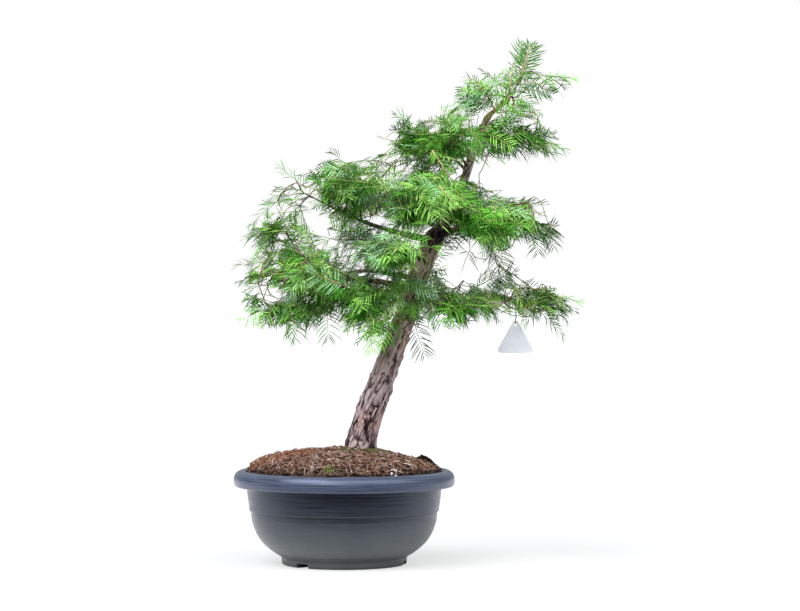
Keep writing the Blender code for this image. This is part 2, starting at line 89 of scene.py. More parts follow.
LOG = logging.getLogger("bonsai")
MM = 0.001
TURN = 2 * math.pi
BODY = "root"
SEED = 20417
UP = np.array([0.0, 0.0, 1.0])

Array = np.ndarray
Draws = np.random.Generator
Mesh = tuple[Array, Array]
"""Points in mm, and triangles as rows of three point numbers."""


def linear(code: str) -> tuple:
    """Turns an sRGB hex colour into linear values.

    Args:
        code: the colour, such as "#3E4650".

    Returns:
        Linear red, green, blue and an alpha of 1.
    """
    parts = [int(code[at:at + 2], 16) / 255 for at in (1, 3, 5)]
    flat = [part / 12.92 if part <= 0.04045 else ((part + 0.055) / 1.055) ** 2.4 for part in parts]
    return (*flat, 1)


def connect(node: Node, inputs: dict) -> None:
    """Gives a node's inputs their values or links.

    Args:
        node: the node.
        inputs: a value, or the socket that feeds it, for each input's name or number.
    """
    for name, value in inputs.items():
        if isinstance(value, NodeSocket):
            node.id_data.links.new(value, node.inputs[name])
        else:
            node.inputs[name].default_value = value


def add_node(tree: NodeTree, kind: str, inputs: dict, output: str = "", stops: tuple = (),
             **settings: object) -> NodeSocket | None:
    """Adds a node with its settings and its links.

    Args:
        tree: the tree that takes the node.
        kind: the node's type name, less its first part.
        inputs: as connect takes them; a colour mix has its share as 0, its colours as 6 and 7.
        output: the wanted output; without a name, the first one in use.
        stops: a ramp's places and colours, as sRGB hex or linear values.
        settings: the node's own values.

    Returns:
        The wanted output, where the node has one.
    """
    node = tree.nodes.new("ShaderNode" + kind)
    for name, value in settings.items():
        setattr(node, name, value)
    ramp = node.color_ramp.elements if stops else []
    while len(ramp) < len(stops):
        ramp.new(0.5)
    for stop, (place, shade) in zip(ramp, stops):
        stop.position = place
        stop.color = linear(shade) if isinstance(shade, str) else shade
    connect(node, inputs)
    if output:
        return node.outputs[output]
    return next((socket for socket in node.outputs if socket.enabled), None)


def new_material(name: str, **values: object) -> tuple[Material, Node, Callable]:
    """Makes a material with one shader.

    Args:
        name: the material's name.
        values: values for its sockets, with _ for each space in a socket's name.

    Returns:
        The material, its shader, and add_node for its own tree.
    """
    material = bpy.data.materials.new(name)
    material.use_nodes = True
    shader = material.node_tree.nodes["Principled BSDF"]
    connect(shader, {socket.replace("_", " "): value for socket, value in values.items()})
    return material, shader, partial(add_node, material.node_tree)


@dataclass(frozen=True)
class MouldedPolypropylene:
    """Polypropylene, injection moulded: satin, with level scuffs round the top of the wall; painted shade
    darkens the wall towards the lip, and a painted highlight makes the lip paler and bluer.
    """

    dark: str = "#07090D"
    light: str = "#2A303A"
    low: str = "#50544C"
    low_dark: str = "#434742"
    # The foot's two tones, paler than the scuffed wall above them: a painted reflection of the floor, where
    # the scuffs fade out.
    """The foot's two tones, where dust from the ground hides the scuffs."""
    lip: str = "#525B6F"
    lip_dark: str = "#2B3140"
    lip_foot: float = 105.7
    # Height in mm above which the finish is paler and bluer: a painted highlight on the lip.
    """Height in mm above which the finish is paler and bluer from handling."""
    roughness: float = 0.3
    ior: float = 1.49
    gloss: float = 0.62
    sheen: str = "#D4DEFF"
    scuff_height: float = 1.3
    scuff_length: float = 70.0
    """Height of one scuff, and how far it runs round the pot, in mm."""
    scuff_depth: float = 0.4
    scuffs_from: float = 10.0
    scuffs_full: float = 94.0
    # Heights in mm where the scuffs begin and where they are strongest, and with them the painted shade that
    # darkens the wall towards the lip.
    """Heights in mm where the scuffs begin and where they are strongest."""
    clouds_per_metre: float = 26.0

    def material(self) -> Material:
        """Makes the material.

        Returns:
            The material.
        """
        material, shader, node = new_material(
            "moulded_polypropylene", IOR=self.ior, Specular_IOR_Level=self.gloss,
            Specular_Tint=linear(self.sheen),
        )
        place = node("TexCoord", {}, "Object")
        along, upright = 1 / (self.scuff_length * MM), 1 / (self.scuff_height * MM)
        level = node("Mapping", {"Vector": place, "Scale": (along, along, upright)})
        scuff = node("TexNoise", {"Vector": level, "Scale": 1, "Detail": 5, "Roughness": 0.7})
        cloud = node("TexNoise", {"Vector": place, "Scale": self.clouds_per_metre, "Detail": 3})
        height = node("SeparateXYZ", {"Vector": place}, "Z")
        scuffs_and_shade = node("MapRange", {
            "Value": height, "From Min": self.scuffs_from * MM, "From Max": self.scuffs_full * MM,
        }, interpolation_type="SMOOTHSTEP")
        marks = node("ValToRGB", {"Fac": scuff}, stops=((0.4, self.dark), (0.66, self.light)))
        plain = node("ValToRGB", {"Fac": cloud}, stops=((0.3, self.low), (0.75, self.low_dark)))
        # painted shade and reflection: going up the wall, the near-black scuff tones take over from the paler
        # foot tones, so the wall is darker towards the lip and paler towards the floor
        wall = node("Mix", {0: scuffs_and_shade, 6: plain, 7: marks}, data_type="RGBA")
        # painted highlight: the lip takes its own paler, bluer tones
        lip_highlight = node("ValToRGB", {"Fac": scuff}, stops=((0.36, self.lip_dark), (0.66, self.lip)))
        above = node("Math", {0: height, 1: self.lip_foot * MM}, operation="GREATER_THAN")
        colour = node("Mix", {0: above, 6: wall, 7: lip_highlight}, data_type="RGBA")
        rough = node("MapRange", {
            "Value": scuff, "From Min": 0.3, "From Max": 0.7,
            "To Min": self.roughness - 0.1, "To Max": self.roughness + 0.16,
        })
        strength = node("Math", {0: scuffs_and_shade, 1: 0.5, 2: 0.06}, operation="MULTIPLY_ADD")
        bump = node("Bump", {"Height": scuff, "Strength": strength, "Distance": self.scuff_depth * MM})
        connect(shader, {"Base Color": colour, "Roughness": rough, "Normal": bump})
        return material


@dataclass(frozen=True)
class BarkMulch:
    """Shredded bark mulch: matt, damp red-brown crumbs with dark hollows between them, painted shade where
    the crumbs' relief is lowest.
    """

    hollow: str = "#120C0A"
    body: str = "#3A2820"
    rust: str = "#4E2E20"
    dry: str = "#75594B"
    crumb: float = 2.2
    crumb_depth: float = 1.2
    """Width and depth of a crumb, in mm."""
    rust_per_metre: float = 38.0
    roughness: float = 0.92

    def material(self) -> Material:
        """Makes the material.

        Returns:
            The material.
        """
        material, shader, node = new_material("bark_mulch", Roughness=self.roughness)
        place = node("TexCoord", {}, "Object")
        size = 1 / (self.crumb * MM)
        crumbs = node("TexNoise", {"Vector": place, "Scale": size, "Detail": 5, "Roughness": 0.7})
        rust = node("TexNoise", {"Vector": place, "Scale": self.rust_per_metre, "Detail": 3})
        # painted shade: the crumbs' lowest relief turns near black
        brown = node("ValToRGB", {"Fac": crumbs}, stops=(
            (0.34, self.hollow), (0.52, self.body), (0.72, self.dry),
        ))
        rusty = node("ValToRGB", {"Fac": crumbs}, stops=((0.36, self.hollow), (0.66, self.rust)))
        share = node("MapRange", {"Value": rust, "From Min": 0.42, "From Max": 0.62, "To Max": 0.8})
        colour = node("Mix", {0: share, 6: brown, 7: rusty}, data_type="RGBA")
        bump = node("Bump", {"Height": crumbs, "Strength": 0.9, "Distance": self.crumb_depth * MM})
        connect(shader, {"Base Color": colour, "Normal": bump})
        return material


@dataclass(frozen=True)
class CypressBark:
    """Cypress bark, weathered: pink-grey strips, warm brown in places, nearly black in its cracks, partly its
    own colour and partly painted shade; painted light lifts it at the heights that the zones give.
    """

    name: str = "cypress_bark"
    crack: str = "#160F12"
    shade: str = "#4F3F42"
    body: str = "#836E70"
    strip: str = "#C0AFB2"
    warm_body: str = "#9A786E"
    warm_strip: str = "#D2B0A6"
    pale_lift: float = 2.3
    # How much lighter painted light makes the bark where the zones lift it, against the foliage's shade.
    """How much lighter the bark is where it is pale."""
    # the bare wood's own tan, made lighter by painted light against the needles' shade
    wood: str = "#F0CDA4"
    wood_shade: str = "#B08458"
    zones: tuple = (
        (150, 0, 0, 0), (240, 0.1, 0, 0), (285, 0.4, 0.2, 0), (345, 0.6, 0.35, 0),
        (372, 0.4, 0.9, 0), (415, 0.4, 0.9, 0), (432, 0.7, 0, 0), (480, 0.2, 0.3, 0),
        (505, 0, 0.9, 0), (570, 0, 0.9, 0), (592, 0.6, 0.2, 0), (598, 0.6, 0, 1),
        (619, 0.6, 0, 1), (625, 0.8, 0, 0),
    )
    # Height in mm, and how warm, how lifted by painted light and how bare of bark the trunk is there, from 0
    # to 1.
    """Height in mm, and how warm, pale and bare of bark the trunk is there, from 0 to 1."""
    lean: float = 18.7
    """Lean of the strips from upright, in degrees."""
    streak_width: float = 1.3
    streak_length: float = 22.0
    strip_depth: float = 0.8
    warm_patch: float = 34.0
    roughness: float = 0.88

    def material(self) -> Material:
        """Makes the material, which reads the relief that the mesh stores.

        Returns:
            The material.
        """
        material, shader, node = new_material(self.name, Roughness=self.roughness, Specular_IOR_Level=0.3)
        place = node("TexCoord", {}, "Object")
        turned = node("Mapping", {"Vector": place, "Rotation": (0, math.radians(-self.lean), 0)})
        across = 1 / (self.streak_width * MM)
        drawn = node("Mapping", {"Vector": turned, "Scale": (across, across, 1 / (self.streak_length * MM))})
        streak = node("TexNoise", {"Vector": drawn, "Scale": 1, "Detail": 5, "Roughness": 0.7})
        relief = node("Attribute", {}, "Fac", attribute_name="relief")
        high = node("Math", {0: relief, 1: 0.72}, operation="MULTIPLY")
        total = node("Math", {0: streak, 1: 0.62, 2: high}, operation="MULTIPLY_ADD", use_clamp=True)
        # the cracks' near black is partly the bark's own colour and partly painted shade in the low relief
        tones = [
            node("ValToRGB", {"Fac": total}, stops=(
                (0.36, self.crack), (0.5, self.shade), (0.7, body), (0.96, strip),
            ))
            for body, strip in ((self.body, self.strip), (self.warm_body, self.warm_strip))
        ]
        patches = node("TexNoise", {"Vector": place, "Scale": 1 / (self.warm_patch * MM), "Detail": 3})
        warm = node("MapRange", {"Value": patches, "From Min": 0.5, "From Max": 0.68, "To Max": 0.6})
        tall = self.zones[-1][0]
        height = node("SeparateXYZ", {"Vector": place}, "Z")
        level = node("Math", {0: height, 1: 1 / (tall * MM)}, operation="MULTIPLY")
        stops = tuple((place_up / tall, (*shares, 1)) for place_up, *shares in self.zones)
        zone = node("ValToRGB", {"Fac": level}, stops=stops)
        split = node("SeparateColor", {"Color": zone}).node.outputs
        warmth = node("Math", {0: warm, 1: split["Red"]}, operation="ADD", use_clamp=True)
        bark = node("Mix", {0: warmth, 6: tones[0], 7: tones[1]}, data_type="RGBA")
        # painted light: the zones' green share lifts the bark where the foliage shades it
        lift = node("Math", {0: split["Green"], 1: self.pale_lift - 1, 2: 1}, operation="MULTIPLY_ADD")
        pale = node("VectorMath", {0: bark, "Scale": lift}, operation="SCALE")
        wood = node("ValToRGB", {"Fac": streak}, stops=((0.3, self.wood_shade), (0.6, self.wood)))
        colour = node("Mix", {0: split["Blue"], 6: pale, 7: wood}, data_type="RGBA")
        bump = node("Bump", {"Height": streak, "Strength": 0.9, "Distance": self.strip_depth * MM})
        connect(shader, {"Base Color": colour, "Normal": bump})
        return material


@dataclass(frozen=True)
class PlainFinish:
    """One plain colour for the whole piece, set on the shader's own sockets."""

    name: str
    colour: str
    roughness: float = 0.5
    ior: float = 1.5
    gloss: float = 0.5
    """Strength of the reflection, where 0.5 is a smooth wet skin's."""
    clear: float = 0.0

    def material(self) -> Material:
        """Makes the material.

        Returns:
            The material.
        """
        return new_material(
            self.name, Base_Color=linear(self.colour), Roughness=self.roughness, IOR=self.ior,
            Specular_IOR_Level=self.gloss, Transmission_Weight=self.clear,
        )[0]


@dataclass(frozen=True)
class LivingTissue(PlainFinish):
    """Leaf, shoot or moss, grown: a soft wax gloss over one colour."""

    ior: float = 1.42
    gloss: float = 0.1


@dataclass(frozen=True)
class TornBark(PlainFinish):
    """Fibre or chip of bark mulch, torn: dry and matt, with one tone for each piece."""

    roughness: float = 0.85
    ior: float = 1.42
    gloss: float = 0.1


@dataclass(frozen=True)
class ExpandedPerlite(PlainFinish):
    """Perlite grains, expanded by heat: chalky and nearly white."""

    roughness: float = 0.9
    ior: float = 1.42
    gloss: float = 0.1


@dataclass(frozen=True)
class DrawnNylon(PlainFinish):
    """Nylon line or coated wire, drawn: smooth and thin, so only its colour and gloss show."""

    roughness: float = 0.3
    ior: float = 1.53


@dataclass(frozen=True)
class TintedStyrene:
    """Polystyrene sheet, die cut: smooth and a little milky, nearly white with a faint blue cast, lighter
    than the sheet itself as painted light against the foliage's shade.
    """

    # nearly white: painted light that brightens the tag in the foliage's shade
    colour: str = "#FAFBFF"
    haze: str = "#EEF1FA"
    clouds_per_metre: float = 60.0
    roughness: float = 0.22
    ior: float = 1.59
    clear: float = 0.05

    def material(self) -> Material:
        """Makes the material.

        Returns:
            The material.
        """
        material, shader, node = new_material(
            "tinted_styrene", Roughness=self.roughness, IOR=self.ior, Transmission_Weight=self.clear,
        )
        place = node("TexCoord", {}, "Object")
        haze = node("TexNoise", {"Vector": place, "Scale": self.clouds_per_metre, "Detail": 2})
        colour = node("ValToRGB", {"Fac": haze}, stops=((0.3, self.colour), (0.7, self.haze)))
        connect(shader, {"Base Color": colour})
        return material


Finish = MouldedPolypropylene | BarkMulch | CypressBark | PlainFinish | TintedStyrene


class Tint(Enum):
    """Colour of a spray of needles, dealt out by its place and partly at random: darker tints are painted
    shade deep in the crown, lighter ones painted light on top and outside.
    """

    DEEP = "#1F580A"
    DUSK = "#468C27"
    MID = "#70BC40"
    FRESH = "#92CE5E"
    LIME = "#B6D67A"
    PALE = "#A0D09C"
    DULL = "#52644A"


DEEP, DUSK, MID, FRESH, LIME, PALE, DULL = Tint


def unit(vectors: Array) -> Array:
    """Scales vectors to length 1."""
    return vectors / np.maximum(np.linalg.norm(vectors, axis=-1, keepdims=True), 1e-9)


def bend(share: Array, low: float, high: float) -> Array:
    """Rises smoothly from 0 at low to 1 at high."""
    inside = np.clip((share - low) / (high - low), 0, 1)
    return inside * inside * (3 - 2 * inside)


class Noise:
    """Seeded gradient noise for whole arrays of points."""

    def __init__(self, seed: int) -> None:
        """Deals out the noise's slopes.

        Args:
            seed: the noise's seed.
        """
        draws = np.random.default_rng(seed)
        self.order = np.tile(draws.permutation(256), 3)
        self.slopes = unit(draws.normal(size=(256, 3)))

    def at(self, points: Array, layers: int = 1) -> Array:
        """Reads the noise.

        Args:
            points: places, in an array of any shape.
            layers: how many are summed, each finer and half as strong.

        Returns:
            Values of about -1 to 1.
        """
        total = np.zeros(points.shape[:-1])
        for layer in range(layers):
            scaled = points * 2**layer + 17.3 * layer
            cell = np.floor(scaled).astype(int)
            inside = scaled - cell
            eased = inside**3 * (inside * (inside * 6 - 15) + 10)
            for corner in np.ndindex(2, 2, 2):
                step = np.array(corner)
                first, second, third = np.moveaxis((cell + step) & 255, -1, 0)
                slope = self.slopes[self.order[self.order[self.order[first] + second] + third]]
                weight = np.prod(np.where(step == 1, eased, 1 - eased), axis=-1)
                total += weight * np.sum(slope * (inside - step), axis=-1) * 1.6 / 2**layer
        return total


def around(sides: int) -> Array:
    """Even turns round a circle, in radians."""
    return np.arange(sides) * TURN / sides


def on_circle(turn: Array) -> Array:
    """The cosine and sine of turns, as pairs."""
    return np.stack([np.cos(turn), np.sin(turn)], -1)


def grid_faces(rows: int, columns: int) -> Array:
    """Makes triangles between rings of points, facing out.

    Args:
        rows: how many rings.
        columns: how many points go round.

    Returns:
        Rows of three point numbers.
    """
    row, column = np.meshgrid(np.arange(rows - 1), np.arange(columns), indexing="ij")
    here = row * columns + column
    after = row * columns + (column + 1) % columns
    quads = np.stack([here, after, after + columns, here + columns], -1).reshape(-1, 4)
    return np.concatenate([quads[:, [0, 1, 2]], quads[:, [0, 2, 3]]])


def tube_faces(rows: int, columns: int) -> Array:
    """Makes the triangles of a tube closed at both ends by fans.

    Args:
        rows: how many rings.
        columns: how many points go round.

    Returns:
        Rows of three point numbers.
    """
    side = np.arange(1, columns - 1)
    low = np.stack([0 * side, side + 1, side], -1)
    high = np.stack([0 * side, side, side + 1], -1) + (rows - 1) * columns
    return np.concatenate([grid_faces(rows, columns), low, high])


def copied(faces: tuple | Array, points: int, count: int) -> Array:
    """Repeats one thing's triangles for a count of such things."""
    return (np.array(faces)[None] + points * np.arange(count)[:, None, None]).reshape(-1, 3)


def smooth_line(points: list, spacing: float) -> Array:
    """Draws a smooth curve through points.

    Args:
        points: rows that it passes through.
        spacing: about how far apart its points lie.

    Returns:
        Its points.
    """
    knots = np.asarray(points, float)
    ends = np.vstack([2 * knots[0] - knots[1], knots, 2 * knots[-1] - knots[-2]])
    rows = []
    for before, start, end, after in zip(ends, ends[1:], ends[2:], ends[3:]):
        steps = max(1, round(float(np.linalg.norm(end - start)) / spacing))
        share = (np.arange(steps) / steps)[:, None]
        rows.append(0.5 * (
            2 * start
            + (end - before) * share
            + (2 * before - 5 * start + 4 * end - after) * share**2
            + (3 * start - before - 3 * end + after) * share**3
        ))
    rows.append(knots[-1:])
    return np.concatenate(rows)


def frames_along(line: Array) -> tuple[Array, Array, Array]:
    """Finds the directions along and across a line, with the least turning.

    Args:
        line: its points.

    Returns:
        Directions along it, across it, and square to both.
    """
    along = unit(np.gradient(line, axis=0))
    start = np.array([1.0, 0.0, 0.0]) if abs(along[0][0]) < 0.8 else np.array([0.0, 1.0, 0.0])
    across = np.empty_like(along)
    for index, heading in enumerate(along):
        start = start - heading * float(np.dot(start, heading))
        start = start / np.linalg.norm(start)
        across[index] = start
    return along, across, np.cross(along, across)


def rings(lines: Array, radii: Array, across: Array, other: Array, sides: int) -> Array:
    """Sets rings of points round the points of a line, or of many.

    Args:
        lines: the centre points.
        radii: the radius at each.
        across: a direction across the line at each.
        other: the direction square to both.
        sides: how many points go round.

    Returns:
        The points.
    """
    turn = around(sides)[:, None]
    ring = across[..., None, :] * np.cos(turn) + other[..., None, :] * np.sin(turn)
    return lines[..., None, :] + ring * radii[..., None, None]


def tube(line: Array, radii: Array, sides: int) -> Mesh:
    """Makes a closed tube along one line."""
    _, across, other = frames_along(line)
    return rings(line, radii, across, other, sides), tube_faces(len(line), sides)


def tubes(lines: Array, radii: Array, sides: int) -> Mesh:
    """Makes many closed tubes at once, all with as many rings.

    Args:
        lines: centre points, by tube and by ring.
        radii: the radius at each.
        sides: how many points go round each tube.

    Returns:
        Points and triangles.
    """
    count, steps = lines.shape[:2]
    along = unit(np.gradient(lines, axis=1))
    rarely_along = np.array([0.31, 0.27, 0.91])
    across = unit(np.cross(along, rarely_along))
    points = rings(lines, radii, across, np.cross(along, across), sides)
    return points, copied(tube_faces(steps, sides), steps * sides, count)


def placed(name: str, data: ID) -> Object:
    """Puts a mesh, a light or a camera into the scene.

    Args:
        name: the object's name.
        data: what it holds.

    Returns:
        The object.
    """
    item = bpy.data.objects.new(name, data)
    bpy.context.scene.collection.objects.link(item)
    return item


class Shape:
    """Points and triangles of one piece, gathered bit by bit."""

    def __init__(self, *mesh: Array) -> None:
        """Starts with nothing or with a mesh.

        Args:
            mesh: its points, triangles and relief, as add takes them.
        """
        self.points: list[Array] = []
        self.faces: list[Array] = []
        self.relief: list[Array] = []
        self.count = 0
        if mesh:
            self.add(*mesh)

    def add(self, points: Array, faces: Array, relief: Array | None = None) -> None:
        """Adds points and triangles.

        Args:
            points: the points, in an array of any shape.
            faces: rows of three of their numbers.
            relief: how high each stands in the bark, from 0 to 1.
        """
        flat = points.reshape(-1, 3)
        self.points.append(flat)
        self.faces.append(faces + self.count)
        self.relief.append(np.full(len(flat), 0.5) if relief is None else relief.ravel())
        self.count += len(flat)

    def item(self, name: str) -> Object:
        """Makes a bare object of what was gathered.

        Args:
            name: the object's name.

        Returns:
            The object.
        """
        points, faces = np.concatenate(self.points) * MM, np.concatenate(self.faces)
        mesh = bpy.data.meshes.new(name)
        mesh.vertices.add(len(points))
        mesh.vertices.foreach_set("co", points.astype(np.float32).ravel())
        mesh.loops.add(len(faces) * 3)
        mesh.loops.foreach_set("vertex_index", faces.astype(np.int32).ravel())
        mesh.polygons.add(len(faces))
        mesh.polygons.foreach_set("loop_start", np.arange(0, len(faces) * 3, 3, dtype=np.int32))
        mesh.update(calc_edges=True)
        mesh.shade_smooth()
        return placed(name, mesh)

    def piece(self, name: str, finish: Finish, slot: str) -> Object:
        """Makes a dressed piece of what was gathered.

        Args:
            name: its name.
            finish: what it is made of.
            slot: not used.

        Returns:
            The piece.
        """
        item = self.item(name)
        values = item.data.attributes.new("relief", "FLOAT", "POINT")
        values.data.foreach_set("value", np.concatenate(self.relief).astype(np.float32))
        item.data.materials.append(finish.material())
        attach(item, BODY)
        LOG.info("%s: %d triangles", name, len(item.data.polygons))
        return item


def box_of(node: str) -> tuple[Array, Array]:
    """Lowest and highest corner of a CAD node, in mm."""
    low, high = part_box(node)
    return np.array(low) / MM, np.array(high) / MM


def node_mesh(node: str) -> Mesh:
    """Reads a CAD node's mesh.

    Args:
        node: the node.

    Returns:
        Points in mm and triangles.
    """
    mesh = frame["nodes"][node].data
    points = np.zeros(len(mesh.vertices) * 3, np.float32)
    mesh.vertices.foreach_get("co", points)
    mesh.calc_loop_triangles()
    faces = np.zeros(len(mesh.loop_triangles) * 3, np.int32)
    mesh.loop_triangles.foreach_get("vertices", faces)
    return points.reshape(-1, 3).astype(float) / MM, faces.reshape(-1, 3)


def nodes_named(start: str) -> list[str]:
    """Names of the CAD nodes that start with a word, in order."""
    return sorted(name for name in frame["nodes"] if name.startswith(start))


def sections(node: str, axis: Array, cuts: Array) -> Array:
    """Measures a CAD limb where planes cross it.

    Args:
        node: the limb's node.
        axis: the planes' direction.
        cuts: their places along it.

    Returns:
        Rows of x, y, z and radius, in mm.
    """
    points, faces = node_mesh(node)
    edges = np.concatenate([faces[:, [0, 1]], faces[:, [1, 2]], faces[:, [2, 0]]])
    height = points @ axis
    first = unit(np.cross(axis, np.array([0.0, 1.0, 0.0]) if abs(axis[1]) < 0.8 else UP))
    second = np.cross(axis, first)
    rows = []
    for cut in cuts:
        ends = height[edges]
        crossing = edges[(ends.min(1) <= cut) & (ends.max(1) > cut)]
        start, end = points[crossing[:, 0]], points[crossing[:, 1]]
        share = (cut - height[crossing[:, 0]]) / (height[crossing[:, 1]] - height[crossing[:, 0]])
        hits = start + share[:, None] * (end - start)
        wide, deep = hits @ first, hits @ second
        middle = first * (wide.min() + wide.max()) / 2 + second * (deep.min() + deep.max()) / 2
        rows.append([*(middle + axis * cut), min(np.ptp(wide), np.ptp(deep)) / 2])
    return np.array(rows)


def carve(piece: Object, guide: Object) -> None:
    """Cuts a guide out of a piece and removes the guide.

    Args:
        piece: the piece.
        guide: the closed solid that is cut away.
    """
    modifier = piece.modifiers.new("carve", "BOOLEAN")
    modifier.operation = "DIFFERENCE"
    modifier.solver = "EXACT"
    modifier.object = guide
    bpy.context.view_layer.update()
    graph = bpy.context.evaluated_depsgraph_get()
    mesh = bpy.data.meshes.new_from_object(piece.evaluated_get(graph))
    piece.modifiers.clear()
    piece.data = mesh
    bpy.data.objects.remove(guide, do_unlink=True)


@dataclass
class Pot:
    """Round training pot, turned, with a broad lip and a flat foot."""

    foot_radius: float = 85.0
    floor_top: float = 12.0
    channel_width: float = 20.0
    channel_height: float = 6.2
    channel_start: float = 28.0
    channel_past_foot: float = 9.0
    channel_turns: tuple = (-41, 79, 199)
    """Turn of each drain channel from the front, towards +X, in degrees."""
    drain_radius: float = 6.0
    drain_place: float = 52.0
    drain_heights: tuple = (2.7, 20)
    sides: int = 168
    ring_step: float = 1.25
    mark_depth: float = 0.16
    mark_pitch: float = 2.1
    plain_marks: float = 0.15
    """Share of the marks' depth outside the band under the lip."""

    def profile(self) -> Array:
        """Works out the turned outline.

        Returns:
            Radius and height of each ring, from the underside to the floor inside.
        """
        rim, foot = float(box_of("pot")[1][0]), self.foot_radius
        bead = [(foot - 4.5, 0), (foot - 1.6, 0.9), (foot - 0.3, 3.2), (foot, 7.6)]
        bowl = [
            (foot - 0.2, 10), (88.6, 13), (96.6, 18), (109.2, 28.6), (117.6, 39.8),
            (123, 52), (125.8, 63), (126.3, 72),
        ]
        band = [(128.2, 73), (128.8, 75.6), (131, 93), (132.4, 105.4)]
        under_lip = [(134.6, 106.3), (rim - 5, 106), (rim - 2.2, 106.9)]
        lip = [
            (rim - 0.8, 108.9), (rim - 0.1, 112.4), (rim, 115.6), (rim - 0.6, 119.2), (rim - 2.3, 122.8),
            (rim - 5, 125.6), (rim - 8.6, 127.3), (rim - 11.8, 127.7), (rim - 14.8, 126.9),
            (133.6, 125.4), (132.8, 123),
        ]
        inside = [(132.4, 120.6), (123, 70), (113, 47), (99, 30), (78, self.floor_top)]
        runs = [smooth_line(run, self.ring_step) for run in (bead, bowl, band, under_lip, lip)]
        return np.concatenate([*runs, smooth_line(inside, 8)])

    def marked(self, profile: Array) -> Array:
        """Adds the turned marks, which show most in the band under the lip.

        Args:
            profile: the plain outline.

        Returns:
            The marked one.
        """
        height = profile[:, 1]
        band = bend(height, 52, 71) * (1 - bend(height, 104, 108))
        outer = np.arange(len(profile)) < np.argmax(height)
        places = np.stack([height / self.mark_pitch, height * 0 + 0.4, height * 0 + 0.7], -1)
        depth = self.mark_depth * Noise(SEED + 1).at(places, 2)
        marked = profile.copy()
        marked[:, 0] += depth * (self.plain_marks + (1 - self.plain_marks) * band) * outer
        return marked

    def guides(self) -> tuple[Object, Object]:
        """Makes the guides that cut the foot.

        Returns:
            The channels' guide and the holes' guide.
        """
        channels, holes = Shape(), Shape()
        for turn in self.channel_turns:
            out = np.append(on_circle(math.radians(turn - 90)), 0)
            line = np.stack([out * self.channel_start, out * (self.foot_radius + self.channel_past_foot)])
            across = np.array([-out[1], out[0], 0.0]) * self.channel_width / 2.0
            corners = [-across - UP * 4, across - UP * 4]
            corners += [across + UP * self.channel_height, -across + UP * self.channel_height]
            channels.add(line[:, None] + np.array(corners)[None], tube_faces(2, 4))
            rise = np.stack([out * self.drain_place + UP * height for height in self.drain_heights])
            holes.add(*tube(rise, np.full(2, self.drain_radius), 32))
        return channels.item("channel_guide"), holes.item("drain_guide")

    def build(self) -> None:
        """Turns the pot, cuts its foot and dresses it."""
        profile = self.marked(self.profile())
        turn = around(self.sides)
        radius, height = profile[:, :1], profile[:, 1:]
        points = np.stack([radius * np.cos(turn), radius * np.sin(turn), height + 0 * turn], -1)
        shape = Shape(points, tube_faces(len(profile), self.sides))
        pot = shape.piece("pot_moulded", MouldedPolypropylene(), "moulded_plastic")
        for guide in self.guides():
            carve(pot, guide)
        pot.data.set_sharp_from_angle(angle=math.radians(48))
        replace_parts(pot, "pot")


@dataclass(frozen=True)
class Bits:
    """Fibres or chips of one kind, and the round patch that they lie in."""

    name: str
    finish: Finish
    count: int
    lengths: tuple
    reach: float = 129.0
    """The patch's radius."""
    middle: tuple = (0, 0)
    inner: float = 0.0
    """Radius of its bare middle."""
    flat: float = 0.35
    """Thickness of a chip as a share of its length."""


